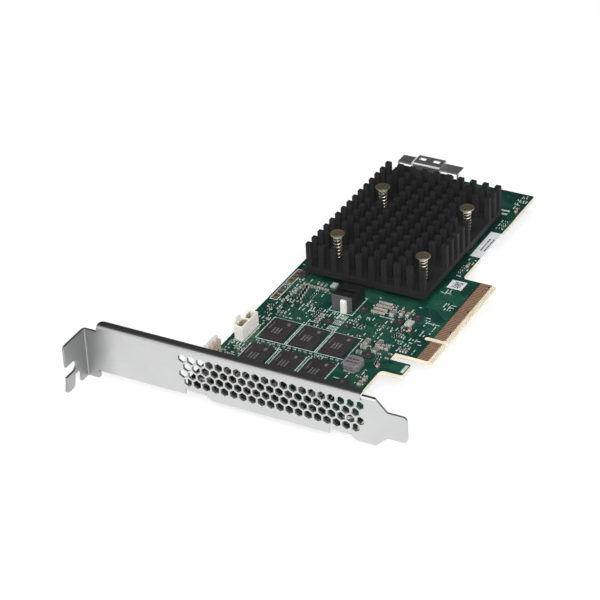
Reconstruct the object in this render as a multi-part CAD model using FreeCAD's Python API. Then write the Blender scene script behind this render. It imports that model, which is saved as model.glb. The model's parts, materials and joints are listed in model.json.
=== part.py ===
"""Raid controller card: a low-profile circuit board on a full-height vented bracket.

Frame: the origin is on the bracket's outer face, level with the board's component side
and with the contact edge of its connector. +X runs along the card, away from the bracket.
+Y runs across the board, away from the contact edge, towards the bracket's screw tab.
+Z is the board's normal on the component side. Sizes are in millimetres.
"""
import FreeCAD
import Part
import math
import os

V = FreeCAD.Vector

# ---------------------------------------------------------------- driving sizes
clearance = 0.1             # free fit between separate pieces
touch_gap = 0.02            # seated pieces that only lie against each other

# circuit board
board_length = 155.65
board_width = 68.90
board_thickness = 1.57
board_front_gap = 1.99      # bracket's inner face to the board's front edge
board_corner = 0.8
rear_recess = 12.8          # contact edge to the board's edge behind the connector
front_recess = 13.4         # contact edge to the board's edge ahead of the connector
recess_radius = 1.8

# contact edge
key_x = 57.6                # key centre line behind the bracket's outer face
key_width = 1.9
key_depth = 8.4
contact_pitch = 1.0
contact_width = 0.7
contact_thickness = 0.05
contact_inner_end = 5.6
contact_outer_end = 1.3
contact_short_by = 1.0      # presence contacts start this much later
contacts_before_key = 11
contacts_after_key = 38
key_contact_gap = 3.0       # pitch across the key
edge_margin = 0.65          # last contact's centre to the end of the connector
presence_contacts = (17, 31, 48)
bevel_depth = 0.45
bevel_length = 1.25

# retention tongue and the lobe behind the bracket
hook_width = 7.0
hook_end = 5.5
hook_slot = 4.15            # gap between the hook and the contact edge
lobe_length = 14.2
lobe_end = 5.5

# bracket
bracket_length = 120.02
bracket_tab_y = 106.70      # outer face of the screw tab above the contact edge
sheet = 0.86
bend_radius = 0.45          # inside of each fold
bracket_top = 14.60
bracket_bottom = -3.40
flange_depth = 3.44
flange_start = 3.1
flange_end = 101.0
flange_corner = 1.5
flange_relief = 0.6
flange_relief_depth = 1.9
tongue_low = 0.5
tongue_high = 10.2
tongue_corner = 1.6
tongue_root_y = -2.1        # where the shoulders start to slope
tongue_slope = 4.2
shoulder_radius = 0.9
tab_depth = 12.3            # bracket's outer face to the tab's free edge
tab_high = 12.1
tab_low = -6.75
tab_foot = 4.2              # strip of the face that drops beside the fold
tab_foot_low = -6.3
tab_corner = 1.2
screw_slot_width = 4.1
screw_slot_depth = 6.1
screw_slot_z = 1.95
tab_relief_width = 3.5
tab_relief_x = -5.65
finger_root = -1.5
finger_corner = 1.3
finger_lean = 7.0           # degrees outwards
vent_pitch = 3.42
vent_flats = 2.8
vent_columns = 20
vent_first_y = 68.27
vent_first_z = 10.43
vent_rows = 4
ear_length = 9.4
ear_width = 6.5
ear_corner = 1.6
ear_places = (63.7, 10.5)
ear_notch = 0.9
ear_dot = 0.4               # radius of the small reliefs beside the folds
ear_curve = 2.4
ear_screw_x = 6.0

# bracket screws
screw_radius = 1.25
screw_head_radius = 2.4
screw_head_height = 1.7
screw_length = 4.6
screw_recess = 0.9
screw_cross_length = 2.6
screw_cross_width = 0.55

# heatsink
sink_x = 75.2               # from the bracket's outer face
sink_side = 16.9            # from the contact edge
fin_columns = 15
fin_rows = 10
fin_pitch_x = 4.41
fin_pitch_y = 4.84
fin_size_x = 1.8
fin_size_y = 2.0
sink_base_low = 2.55
sink_base_thickness = 2.3
sink_top = 14.1
pin_columns = (1, 9)        # first of the three fin columns left out round a pin
pin_rows = (0, 7)           # first of the two fin rows left out round a pin
pin_column_span = 3
pin_row_span = 2
pin_offsets = ((-1.9, 0.7), (-0.5, 0.5))  # each row's pins from their clearing's centre

# spring pins that clamp the heatsink
pin_head_radius = 2.6
pin_head_height = 1.1
pin_collar_radius = 1.7
pin_collar_height = 1.0
pin_shaft_radius = 0.85
pin_top = 15.2
pin_barb_radius = 1.25
pin_barb_length = 1.5
pin_split = 0.4             # slit through the barbed tip
spring_wire = 0.45
spring_radius = 1.35
spring_turns = 7

# controller under the heatsink
controller_side = 27.0
controller_ball = 0.4
controller_substrate = 1.0
controller_lid_side = 21.0
pad_thickness = 0.35
ball_columns = 10
ball_margin = 1.5           # outer balls' centres in from the package's edge
ball_radius = 0.3

# memory chips
memory_length = 11.9
memory_width = 8.6
memory_height = 1.1
memory_columns = (24.7, 41.1)
memory_first_y = 55.1
memory_pitch = 11.4
memory_rows = 3

# inductor
inductor_length = 6.5
inductor_width = 6.3
inductor_height = 2.5
inductor_chamfer = 1.2
inductor_lift = 0.1         # its terminals' thickness
inductor_terminal = 1.4     # from the body's end inwards
inductor_toe = 0.15         # and past the body's end
inductor_place = (32.4, 22.5)

# upright wire header
header_length = 10.9
header_width = 3.3
header_height = 5.4
header_wall = 0.6
header_floor = 1.6
header_rib = 0.9
header_place = (36.45, 64.9)
header_pins = 4
header_pin_pitch = 2.5
header_pin_side = 0.5
header_latch_length = 4.0
header_latch_height = 7.9
header_latch_hole = 0.5
header_latch_curve = 1.2
header_notch_length = 2.2
header_notch_depth = 1.6
header_pin_below = 1.2      # pins' tops below the shroud's rim
pin_tail = 1.2              # length of a soldered pin below the board

# side wire header at the board's edge
side_header_length = 6.6
side_header_depth = 2.4
side_header_height = 5.4
side_header_wall = 0.5
side_header_slope = 1.5     # cut off the mouth's upper edge
side_header_overlap = 0.35  # back face in from the board's edge
side_header_x = 20.3
side_header_pins = 3
side_header_pitch = 2.3
side_pin_height = 4.5
side_pin_side = 0.6
side_leg_inset = 1.5        # centre of the soldered legs in from the board's edge
side_header_back = 0.8
side_pin_below = 1.2        # pins' tips in from the shroud's mouth

# black module socket
socket_length = 9.6
socket_width = 7.6
socket_height = 5.7
socket_place = (66.4, 41.5)
socket_plate = 0.5
socket_slot_x = 3.2         # housing's front to the contact slot
socket_slot_width = 1.6
socket_slot_wall = 0.9
socket_slot_floor = 1.5
socket_chamfer = 0.8
socket_plate_rise = 0.3
socket_key_width = 2.0
socket_key_height = 4.8
socket_key_depth = 1.1
socket_key_offset = -1.0    # from the socket's centre line
socket_contacts = 5
socket_contact_size = 0.4
socket_contact_below = 0.6

# rear cable port
port_centre_y = 52.7
port_housing_length = 10.0
port_housing_width = 22.0
port_housing_height = 5.9
port_rear_gap = 7.3         # from the housing's face to the board's rear edge
port_slot_height = 1.9
port_slot_depth = 6.0
port_slot_wall = 1.3
port_slot_room = 0.4        # each side of the slot above and below the plug
port_tongue = 0.9
port_tongue_inset = 2.2
port_tongue_below = 0.6     # tongue's tip in from the mouth
port_contacts = 18
port_contact_pitch = 0.9
port_contact_width = 0.4
port_contact_thickness = 0.1
port_contact_start = 1.0
hood_sheet = 0.4
hood_wing_top = 6.5
hood_wing_front = 0.7       # hood's wings ahead of the housing's face
hood_wing_length = 5.5
hood_width = 24.4
hood_crown_top = 8.4
hood_crown_width = 11.2
hood_crown_length = 6.4
hood_crown_front = 1.2
hood_leg = 1.2
hood_window = (2.0, 2.6)
hood_window_inset = 2.2     # windows' centres in from the crown's open edge

# small board parts
terminal_length = 0.35
label_thickness = 0.08
code_label_place = (92.0, 12.7)
code_label_size = (5.3, 5.6)
edge_label_span = (111.6, 129.4)
edge_label_width = 4.0      # on each side of the board


# ---------------------------------------------------------------- helpers
def box(x0, x1, y0, y1, z0, z1):
    """Block between two corners."""
    return Part.makeBox(x1 - x0, y1 - y0, z1 - z0, V(x0, y0, z0))


def block(cx, cy, length, width, z0, z1):
    """Block centred on a place on the board."""
    return box(cx - length / 2, cx + length / 2, cy - width / 2, cy + width / 2, z0, z1)


def rod(x, y, z0, z1, radius):
    """Upright round bar."""
    return Part.makeCylinder(radius, z1 - z0, V(x, y, z0))


def prism(points, push):
    """Polygon pushed along a vector into a solid."""
    wire = Part.makePolygon(points + [points[0]])
    return Part.Face(wire).extrude(push)


def fuse_all(shapes):
    """One solid from several that meet."""
    return shapes[0].multiFuse(shapes[1:]).removeSplitter()


def edges_at(shape, test):
    """Edges whose two ends and middle all pass a test."""
    found = []
    for edge in shape.Edges:
        middle = edge.valueAt((edge.FirstParameter + edge.LastParameter) / 2)
        points = [v.Point for v in edge.Vertexes] + [middle]
        if all(test(p) for p in points):
            found.append(edge)
    return found


def near(a, b):
    """True where two lengths agree."""
    return abs(a - b) < 1e-4


# ---------------------------------------------------------------- places worked out
board_front = sheet + board_front_gap
board_rear = board_front + board_length
board_bottom = -board_thickness
connector_start = key_x - (key_contact_gap / 2 + (contacts_before_key - 1) * contact_pitch + edge_margin)
connector_end = key_x + key_contact_gap / 2 + (contacts_after_key - 1) * contact_pitch + edge_margin
hook_end_x = connector_start - hook_slot
hook_start_x = hook_end_x - hook_width
lobe_end_x = board_front + lobe_length
tab_inner_y = bracket_tab_y - sheet
tongue_end_y = bracket_tab_y - bracket_length
fold_y = bracket_tab_y - bend_radius - sheet
tab_bend_x = -bend_radius
sink_length = (fin_columns - 1) * fin_pitch_x + fin_size_x
sink_width = (fin_rows - 1) * fin_pitch_y + fin_size_y
sink_base_top = sink_base_low + sink_base_thickness
port_front = board_rear - port_rear_gap
ear_top = board_bottom - touch_gap
ear_low = ear_top - sheet


def fin_x(column):
    """Front face of a fin column."""
    return sink_x + column * fin_pitch_x


def fin_y(row):
    """Contact-edge side of a fin row."""
    return sink_side + row * fin_pitch_y


def pin_places():
    """Where each spring pin stands in its clearing in the fins."""
    places = []
    for column in pin_columns:
        for row, (offset_x, offset_y) in zip(pin_rows, pin_offsets):
            x = fin_x(column) + ((pin_column_span - 1) * fin_pitch_x + fin_size_x) / 2
            y = fin_y(row) + ((pin_row_span - 1) * fin_pitch_y + fin_size_y) / 2
            places.append((x + offset_x, y + offset_y))
    return places


def ear_holes():
    """Centres of the two bracket screws."""
    return [(ear_screw_x, y) for y in ear_places]


# ---------------------------------------------------------------- circuit board
def board_outline():
    """Plan of the board as a solid before its slots are cut."""
    height = board_thickness
    main = box(board_front, board_rear, front_recess, board_width, board_bottom, 0)
    rear = box(connector_end - recess_radius, board_rear, rear_recess,
               board_width, board_bottom, 0)
    connector = box(connector_start, connector_end, 0, front_recess + 1, board_bottom, 0)
    hook = box(hook_start_x, hook_end_x, hook_end, front_recess + 1, board_bottom, 0)
    lobe = box(board_front, lobe_end_x, lobe_end, front_recess + 1, board_bottom, 0)
    plan = fuse_all([main, rear, connector, hook, lobe])
    inner_y = (front_recess, rear_recess)
    inner = edges_at(plan, lambda p: near(p.x, connector_end) and any(near(p.y, y) for y in inner_y)
                     and -height - 1 < p.z < 1)
    inner += edges_at(plan, lambda p: any(near(p.x, x) for x in (hook_start_x, lobe_end_x))
                      and near(p.y, front_recess))
    plan = plan.makeFillet(recess_radius, inner)
    outer_y = (hook_end, lobe_end, board_width, rear_recess)
    outer_x = (board_front, board_rear, hook_start_x, hook_end_x, lobe_end_x)
    outer = edges_at(plan, lambda p: any(near(p.x, x) for x in outer_x)
                     and any(near(p.y, y) for y in outer_y))
    return plan.makeFillet(board_corner, outer)


def round_slot(x, width, depth):
    """Cutter for a slot open at the contact edge with a full-round end."""
    radius = width / 2
    below = board_bottom - 1
    straight = box(x - radius, x + radius, -1, depth - radius, below, 1)
    return straight.fuse(rod(x, depth - radius, below, 1, radius))


def bevel_cutters():
    """Wedges that chamfer both faces along the contact edge."""
    start = V(connector_start - 1, 0, 0)
    length = V(connector_end - connector_start + 2, 0, 0)
    cutters = []
    for face_z, inward in ((0, -1), (board_bottom, 1)):
        out = face_z - inward
        corners = [start + V(0, -1, out), start + V(0, bevel_length, out),
                   start + V(0, bevel_length, face_z), start + V(0, 0, face_z + inward * bevel_depth),
                   start + V(0, -1, face_z + inward * bevel_depth)]
        cutters.append(prism(corners, length))
    return cutters


def circuit_board():
    """Green board with its connector, hook, slots and holes."""
    plan = board_outline()
    slot_x = (hook_end_x + connector_start) / 2
    cutters = [round_slot(slot_x, hook_slot, front_recess + 0.05),
               round_slot(key_x, key_width, key_depth)]
    cutters += bevel_cutters()
    for x, y in pin_places():
        cutters.append(rod(x, y, board_bottom - 1, 1, pin_shaft_radius + clearance))
    for x, y in ear_holes():
        cutters.append(rod(x, y, board_bottom - 1, 1, screw_radius + clearance))
    for places, side in ((header_pin_places(), header_pin_side), (side_pin_places(), side_pin_side)):
        for x, y in places:
            cutters.append(rod(x, y, board_bottom - 1, 1, side / math.sqrt(2) + clearance))
    return plan.cut(Part.makeCompound(cutters))


def contact_places():
    """Number and X of every contact on one face of the connector."""
    places = []
    for number in range(1, contacts_before_key + contacts_after_key + 1):
        if number <= contacts_before_key:
            x = key_x - key_contact_gap / 2 - (contacts_before_key - number) * contact_pitch
        else:
            x = key_x + key_contact_gap / 2 + (number - contacts_before_key - 1) * contact_pitch
        places.append((number, x))
    return places


def edge_contacts():
    """Gold contacts on both faces of the board's connector."""
    contacts = []
    for number, x in contact_places():
        start = contact_outer_end + (contact_short_by if number in presence_contacts else 0)
        for z in (0, board_bottom - contact_thickness):
            contacts.append(box(x - contact_width / 2, x + contact_width / 2,
                                start, contact_inner_end, z, z + contact_thickness))
    return Part.makeCompound(contacts)


# ---------------------------------------------------------------- bracket
def bend(centre, along, quadrant):
    """Quarter turn of sheet round a bend's axis, kept where it lies in a quadrant's box."""
    outer = Part.makeCylinder(bend_radius + sheet, along.Length, centre, along)
    inner = Part.makeCylinder(bend_radius, along.Length, centre, along)
    return outer.cut(inner).common(quadrant)


def bracket_face():
    """Flat face with its tongue, sloped shoulders and the foot beside the screw tab."""
    low = bracket_bottom
    foot_y = fold_y - tab_foot
    points = [(fold_y, tab_foot_low), (foot_y, tab_foot_low), (foot_y, low),
              (tongue_root_y, low), (tongue_root_y - tongue_slope, tongue_low),
              (tongue_end_y, tongue_low), (tongue_end_y, tongue_high),
              (tongue_root_y - tongue_slope, tongue_high), (tongue_root_y, bracket_top),
              (flange_end, bracket_top), (flange_end, tab_high), (fold_y, tab_high)]
    face = prism([V(0, y, z) for y, z in points], V(sheet, 0, 0))
    ends = edges_at(face, lambda p: near(p.y, tongue_end_y)
                    and (near(p.z, tongue_low) or near(p.z, tongue_high)))
    face = face.makeFillet(tongue_corner, ends)
    slope_end = tongue_root_y - tongue_slope
    bends = edges_at(face, lambda p: near(p.y, slope_end) or near(p.y, tongue_root_y)
                     or (near(p.y, foot_y) and near(p.z, tab_foot_low)))
    return face.makeFillet(shoulder_radius, bends)


def bracket_tab():
    """Screw tab bent outwards, with its open screw slot, arched relief and bent finger."""
    outer = -tab_depth
    y0, y1 = tab_inner_y, bracket_tab_y
    plate = box(outer, tab_bend_x, y0, y1, tab_foot_low, tab_high)
    top = edges_at(plate, lambda p: near(p.x, outer) and near(p.z, tab_high))
    plate = plate.makeFillet(tab_corner, top)
    radius = screw_slot_width / 2
    slot_x = outer + screw_slot_depth - radius
    across = V(0, sheet + 2, 0)
    slot = Part.makeCylinder(radius, across.Length, V(slot_x, y0 - 1, screw_slot_z), across)
    slot = slot.fuse(box(outer - 1, slot_x, y0 - 1, y1 + 1,
                         screw_slot_z - radius, screw_slot_z + radius))
    arch_z = finger_root - tab_relief_width / 2
    arch = Part.makeCylinder(tab_relief_width / 2, across.Length, V(tab_relief_x, y0 - 1, arch_z), across)
    arch = arch.fuse(box(tab_relief_x - tab_relief_width / 2, tab_relief_x + tab_relief_width / 2,
                         y0 - 1, y1 + 1, tab_foot_low - 1, arch_z))
    corner = box(outer - 1, tab_relief_x, y0 - 1, y1 + 1, tab_foot_low - 1, finger_root)
    plate = plate.cut(Part.makeCompound([slot, arch, corner]))
    finger = box(outer, tab_relief_x - tab_relief_width / 2, y0, y1, tab_low, finger_root)
    tip = edges_at(finger, lambda p: near(p.z, tab_low) and p.y > y0 - 1
                   and (near(p.x, outer) or near(p.x, tab_relief_x - tab_relief_width / 2)))
    finger = finger.makeFillet(finger_corner, tip)
    finger.rotate(V(0, y0, finger_root), V(1, 0, 0), finger_lean)
    return plate.fuse(finger)


def tab_bend():
    """Bend between the face and the screw tab."""
    reach = bend_radius + sheet
    centre = V(tab_bend_x, fold_y, tab_foot_low)
    quadrant = box(tab_bend_x, tab_bend_x + reach, fold_y, fold_y + reach, tab_foot_low, tab_high)
    return bend(centre, V(0, 0, tab_high - tab_foot_low), quadrant)


def vent_cutter():
    """Staggered hexagons with their points up and down."""
    cutters = []
    corner_radius = vent_flats / math.sqrt(3)
    for row in range(vent_rows):
        staggered = row % 2
        z = vent_first_z - row * vent_pitch * math.sqrt(3) / 2
        for column in range(vent_columns - staggered):
            y = vent_first_y - (column + staggered / 2) * vent_pitch
            corners = []
            for side in range(6):
                angle = math.radians(90 + 60 * side)
                corners.append(V(-1, y + corner_radius * math.cos(angle),
                                 z + corner_radius * math.sin(angle)))
            cutters.append(prism(corners, V(sheet + 2, 0, 0)))
    return Part.makeCompound(cutters)


def bracket_flange():
    """Flange folded inwards along the top of the face, with rounded ends."""
    reach = bend_radius + sheet
    top = bracket_top
    flat = box(reach, flange_depth, flange_start, flange_end, top - sheet, top)
    ends = edges_at(flat, lambda p: near(p.x, flange_depth)
                    and (near(p.y, flange_start) or near(p.y, flange_end)))
    flat = flat.makeFillet(flange_corner, ends)
    quadrant = box(0, reach, flange_start, flange_end, top - reach, top)
    return flat.fuse(bend(V(reach, flange_start, top - reach),
                          V(0, flange_end - flange_start, 0), quadrant))


def bracket_ear(y):
    """Ear bent inwards under the board, tapped for a screw."""
    y0, y1 = y - ear_width / 2, y + ear_width / 2
    reach = bend_radius + sheet
    flat = box(reach, ear_length, y0, y1, ear_low, ear_top)
    ends = edges_at(flat, lambda p: near(p.x, ear_length) and (near(p.y, y0) or near(p.y, y1)))
    flat = flat.makeFillet(ear_corner, ends)
    quadrant = box(0, reach, y0, y1, ear_low, ear_low + reach)
    fold = bend(V(reach, y0, ear_low + reach), V(0, ear_width, 0), quadrant)
    return flat.fuse(fold).cut(rod(ear_screw_x, y, ear_low - 1, ear_top + 1, screw_radius + touch_gap))


def ear_relief(y):
    """Cutters in the face's lower edge: beside an ear, below it and down to the full edge."""
    y0, y1 = y - ear_width / 2, y + ear_width / 2
    fold_z = ear_low + bend_radius + sheet
    x0, x1 = -1, sheet + 1
    low = bracket_bottom - 1
    notch = box(x0, x1, y1, y1 + ear_notch, low, fold_z)
    below = box(x0, x1, y0, y1, low, fold_z)
    dot_z = fold_z - ear_dot
    dot = Part.makeCylinder(ear_dot, x1 - x0, V(x0, y0 - ear_dot, dot_z), V(1, 0, 0))
    slit = box(x0, x1, y0 - 2 * ear_dot, y0, low, dot_z)
    start = V(x0, y0 - 2 * ear_dot, ear_low)
    finish = V(x0, start.y - ear_curve, bracket_bottom)
    curve = Part.BezierCurve()
    curve.setPoles([start, start + V(0, -ear_curve / 2, 0), finish + V(0, ear_curve / 2, 0), finish])
    corners = [V(x0, finish.y, low), V(x0, start.y, low)]
    wire = Part.Wire([curve.toShape(), Part.makeLine(finish, corners[0]),
                      Part.makeLine(corners[0], corners[1]), Part.makeLine(corners[1], start)])
    return [notch, below, dot, slit, Part.Face(wire).extrude(V(x1 - x0, 0, 0))]


def mounting_bracket():
    """Folded steel bracket: face, flange, tongue, screw tab, two ears and vents."""
    reach = bend_radius + sheet
    cutters = [vent_cutter(),
               box(-1, sheet + 1, flange_start, flange_end, bracket_top - reach, bracket_top + 1),
               box(-1, sheet + 1, flange_start - flange_relief, flange_start,
                   bracket_top - flange_relief_depth, bracket_top + 1),
               Part.makeCylinder(ear_dot, sheet + 2, V(-1, fold_y - tab_foot, bracket_bottom), V(1, 0, 0))]
    for y in ear_places:
        cutters += ear_relief(y)
    face = bracket_face().cut(Part.makeCompound(cutters))
    pieces = [face, bracket_tab(), tab_bend(), bracket_flange()]
    return fuse_all(pieces + [bracket_ear(y) for y in ear_places])


def bracket_screws():
    """Pan-head screws through the board into the bracket's ears."""
    screws = []
    for x, y in ear_holes():
        head = rod(x, y, 0, screw_head_height, screw_head_radius)
        rim = edges_at(head, lambda p: near(p.z, screw_head_height))
        head = head.makeFillet(screw_head_height * 0.45, rim)
        shank = rod(x, y, screw_head_height / 2 - screw_length, screw_head_height / 2, screw_radius)
        depth = screw_head_height - screw_recess
        top = screw_head_height + 1
        cross = [block(x, y, screw_cross_length, screw_cross_width, depth, top),
                 block(x, y, screw_cross_width, screw_cross_length, depth, top)]
        screws.append(head.fuse(shank).cut(Part.makeCompound(cross)))
    return Part.makeCompound(screws)


# ---------------------------------------------------------------- heatsink and controller
def in_clearing(column, row):
    """True for a fin that is left out to make room for a spring pin."""
    in_x = any(first <= column < first + pin_column_span for first in pin_columns)
    in_y = any(first <= row < first + pin_row_span for first in pin_rows)
    return in_x and in_y


def heatsink():
    """Cross-cut fin block: a flat base with square fins, open round each spring pin."""
    base = box(sink_x, sink_x + sink_length, sink_side, sink_side + sink_width,
               sink_base_low, sink_base_top)
    fins = []
    for column in range(fin_columns):
        for row in range(fin_rows):
            if not in_clearing(column, row):
                x, y = fin_x(column), fin_y(row)
                fins.append(box(x, x + fin_size_x, y, y + fin_size_y, sink_base_top, sink_top))
    body = fuse_all([base] + fins)
    holes = [rod(x, y, sink_base_low - 1, sink_base_top + 1, pin_shaft_radius + clearance)
             for x, y in pin_places()]
    return body.cut(Part.makeCompound(holes))


sink_centre = (sink_x + sink_length / 2, sink_side + sink_width / 2)
lid_top = sink_base_low - pad_thickness


def controller_substrate_plate():
    """Green package plate of the controller."""
    return block(*sink_centre, controller_side, controller_side,
                 controller_ball, controller_ball + controller_substrate)


def controller_lid():
    """Metal lid on the controller's package."""
    low = controller_ball + controller_substrate
    lid = block(*sink_centre, controller_lid_side, controller_lid_side, low, lid_top)
    return lid.makeFillet(0.25, edges_at(lid, lambda p: near(p.z, lid_top)))


def controller_balls():
    """Solder balls between the package and the board, as short posts."""
    pitch = (controller_side - 2 * ball_margin) / (ball_columns - 1)
    balls = []
    for column in range(ball_columns):
        for row in range(ball_columns):
            x = sink_centre[0] + (column - (ball_columns - 1) / 2) * pitch
            y = sink_centre[1] + (row - (ball_columns - 1) / 2) * pitch
            balls.append(rod(x, y, 0, controller_ball, ball_radius))
    return Part.makeCompound(balls)


def thermal_pad():
    """Soft pad between the controller's lid and the heatsink."""
    return block(*sink_centre, controller_lid_side - 1, controller_lid_side - 1,
                 lid_top, sink_base_low)


def spring_pin(x, y):
    """Headed pin with a barbed, split tip that snaps through the board."""
    head_low = pin_top - pin_head_height
    head = rod(x, y, head_low, pin_top, pin_head_radius)
    head = head.makeFillet(0.3, edges_at(head, lambda p: near(p.z, pin_top)))
    collar = Part.makeCone(pin_collar_radius * 0.8, pin_collar_radius, pin_collar_height,
                           V(x, y, head_low - pin_collar_height))
    tip_top = board_bottom - clearance
    shaft = rod(x, y, tip_top, head_low, pin_shaft_radius)
    barb = Part.makeCone(pin_barb_radius * 0.5, pin_barb_radius, pin_barb_length,
                         V(x, y, tip_top - pin_barb_length))
    split = block(x, y, pin_split, 2 * pin_head_radius, tip_top - pin_barb_length - 1, tip_top)
    return fuse_all([head, collar, shaft, barb]).cut(split)


def pin_spring(x, y):
    """Coil spring between the heatsink's base and the pin's collar."""
    low = sink_base_top + spring_wire / 2 + touch_gap
    high = pin_top - pin_head_height - pin_collar_height - spring_wire / 2 - touch_gap
    pitch = (high - low) / spring_turns
    path = Part.Wire(Part.makeHelix(pitch, high - low, spring_radius))
    start = V(spring_radius, 0, 0)
    section = Part.Wire(Part.makeCircle(spring_wire / 2, start, V(0, 1, 0)))
    coil = path.makePipeShell([section], True, True)
    coil.translate(V(x, y, low))
    return coil


# ---------------------------------------------------------------- chips on the board
def chip(cx, cy, length, width, height, edge=0.12):
    """Moulded package lying on the board, with its top edge broken."""
    body = block(cx, cy, length, width, 0, height)
    return body.makeChamfer(edge, edges_at(body, lambda p: near(p.z, height)))


def memory_places():
    """Centres of the memory chips, row by row."""
    return [(x, memory_first_y - row * memory_pitch)
            for row in range(memory_rows) for x in memory_columns]


def power_inductor():
    """Moulded inductor with cut corners."""
    x, y = inductor_place
    body = block(x, y, inductor_length, inductor_width, inductor_lift, inductor_height)
    uprights = edges_at(body, lambda p: near(abs(p.x - x), inductor_length / 2)
                        and near(abs(p.y - y), inductor_width / 2))
    body = body.makeChamfer(inductor_chamfer, uprights)
    return body.makeFillet(0.25, edges_at(body, lambda p: near(p.z, inductor_height)))


def inductor_terminals():
    """Flat solder terminals under the inductor's two ends."""
    x, y = inductor_place
    width = inductor_width - 2 * inductor_chamfer
    length = inductor_terminal + inductor_toe
    middle = inductor_length / 2 + inductor_toe - length / 2
    return Part.makeCompound([block(x + side * middle, y, length, width, 0, inductor_lift)
                              for side in (-1, 1)])


# length, width and height of each size of chip part
chip_sizes = {"large": (3.2, 1.6, 1.3), "middle": (2.0, 1.25, 0.9), "small": (1.6, 0.8, 0.8),
              "fine": (1.0, 0.5, 0.45)}


def row_of(x, y, count, step_x, step_y, size, turned=False):
    """Places of equal chip parts in a line: X, Y, size and whether each is turned."""
    return [(x + n * step_x, y + n * step_y, size, turned) for n in range(count)]


def capacitor_places():
    """Ceramic capacitors: round the inductor, by the module socket and at the memory."""
    places = row_of(40.4, 24.4, 2, 3.3, 0.0, "middle", True)
    places += row_of(46.6, 24.6, 1, 0, 0, "large")
    places += row_of(43.6, 19.9, 2, 3.9, 0.4, "large")
    places += row_of(46.4, 16.9, 2, 0, 1.7, "middle")
    places += row_of(24.2, 15.9, 2, 2.9, -0.3, "middle")
    places += row_of(67.6, 19.6, 2, 0, 2.3, "middle")
    places += row_of(66.2, 24.6, 1, 0, 0, "large")
    places += row_of(33.35, 29.0, 16, 0, 2.0, "fine", True)
    places += row_of(33.9, 62.3, 5, 3.1, 0, "fine")
    places += row_of(58.4, 62.9, 5, 2.6, -0.35, "small")
    places += row_of(60.2, 56.8, 4, 0, 1.35, "fine")
    places += row_of(51.2, 46.2, 4, 1.55, 0, "small", True)
    places += row_of(70.5, 52.2, 5, 0, 2.1, "small", True)
    places += row_of(6.8, 20.0, 10, 0, 4.1, "small", True)
    places += row_of(12.6, 22.4, 9, 0, 4.6, "middle")
    return places


def array_places():
    """Block of tan capacitors in three rows of four behind the socket's corner."""
    places = []
    for row in range(3):
        places += row_of(64.9, 27.9 + 1.75 * row, 4, 2.05, 0, "small", True)
    return places


def resistor_places():
    """Chip resistors in short rows over the open parts of the board."""
    places = row_of(49.6, 64.6, 4, 1.7, 0.1, "fine", True)
    places += row_of(50.4, 60.9, 3, 0, -1.35, "fine")
    places += row_of(54.2, 48.6, 5, 1.25, 0, "fine", True)
    places += row_of(61.9, 58.4, 5, 1.9, 0.25, "small", True)
    places += row_of(64.5, 54.8, 4, 1.3, 0, "fine", True)
    places += row_of(55.6, 29.9, 4, 0, 1.35, "fine")
    places += row_of(51.6, 24.4, 3, 2.0, 0.3, "fine")
    places += row_of(53.6, 18.2, 5, 1.35, -0.2, "fine", True)
    places += row_of(57.9, 22.4, 4, 0, 1.5, "fine")
    places += row_of(99.8, 15.4, 4, 1.5, 0, "fine", True)
    places += row_of(132.6, 14.6, 4, 1.7, 0, "fine", True)
    places += row_of(148.6, 22.0, 3, 0, 2.4, "fine")
    places += row_of(36.6, 16.4, 4, 1.45, 0.2, "fine", True)
    places += row_of(148.0, 38.0, 1, 0, 0, "small")
    return places


def amber_places():
    """Four amber chip parts along the lower edge."""
    return (row_of(35.9, 15.2, 1, 0, 0, "small") + row_of(59.6, 15.0, 1, 0, 0, "small")
            + row_of(104.6, 14.4, 1, 0, 0, "small") + row_of(145.6, 14.3, 1, 0, 0, "small"))


def underside_places():
    """Capacitors under the controller, on the solder side."""
    places = []
    for row in range(5):
        y = sink_centre[1] - 6.8 + row * 3.4
        places += row_of(sink_centre[0] - 8.8, y, 6, 3.5, 0, "fine", row % 2 == 1)
    places += row_of(24.0, 38.4, 6, 4.2, 0, "small")
    places += row_of(24.0, 50.0, 6, 4.2, 0, "small")
    return places


def chip_part(place, under=False):
    """Body and two end terminals of one chip part, on either side of the board."""
    x, y, size, turned = place
    length, width, height = chip_sizes[size]
    low, high = (board_bottom - height, board_bottom) if under else (0, height)
    end = min(terminal_length, length / 4)
    middle = block(0, 0, length - 2 * end, width, low, high)
    ends = [box(-length / 2, -length / 2 + end, -width / 2, width / 2, low, high),
            box(length / 2 - end, length / 2, -width / 2, width / 2, low, high)]
    pieces = [middle] + ends
    for piece in pieces:
        if turned:
            piece.rotate(V(0, 0, 0), V(0, 0, 1), 90)
        piece.translate(V(x, y, 0))
    return pieces


def chip_bodies(places, under=False):
    """Bodies of a set of chip parts as one group."""
    return [chip_part(place, under)[0] for place in places]


def chip_terminals():
    """End terminals of every chip part on the board."""
    solids = []
    for place in capacitor_places() + array_places() + resistor_places() + amber_places():
        solids += chip_part(place)[1:]
    for place in underside_places():
        solids += chip_part(place, under=True)[1:]
    return Part.makeCompound(solids)


def small_chips():
    """Small black regulators, gates and memories."""
    places = [(64.2, 34.7, 3.4, 2.6, 0.9), (39.8, 20.6, 3.2, 3.2, 0.9), (62.6, 20.4, 3.0, 3.0, 0.9),
              (53.4, 42.6, 3.0, 3.0, 0.8), (66.9, 15.6, 3.2, 2.8, 1.1), (22.2, 21.2, 3.6, 3.6, 0.9),
              (77.0, 64.2, 5.0, 2.6, 1.0), (9.6, 33.4, 4.0, 4.0, 0.9), (9.6, 49.0, 4.0, 4.0, 0.9),
              (147.6, 30.6, 4.0, 3.2, 1.0), (52.6, 35.4, 2.6, 2.6, 0.8)]
    return Part.makeCompound([chip(*place) for place in places])


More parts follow.
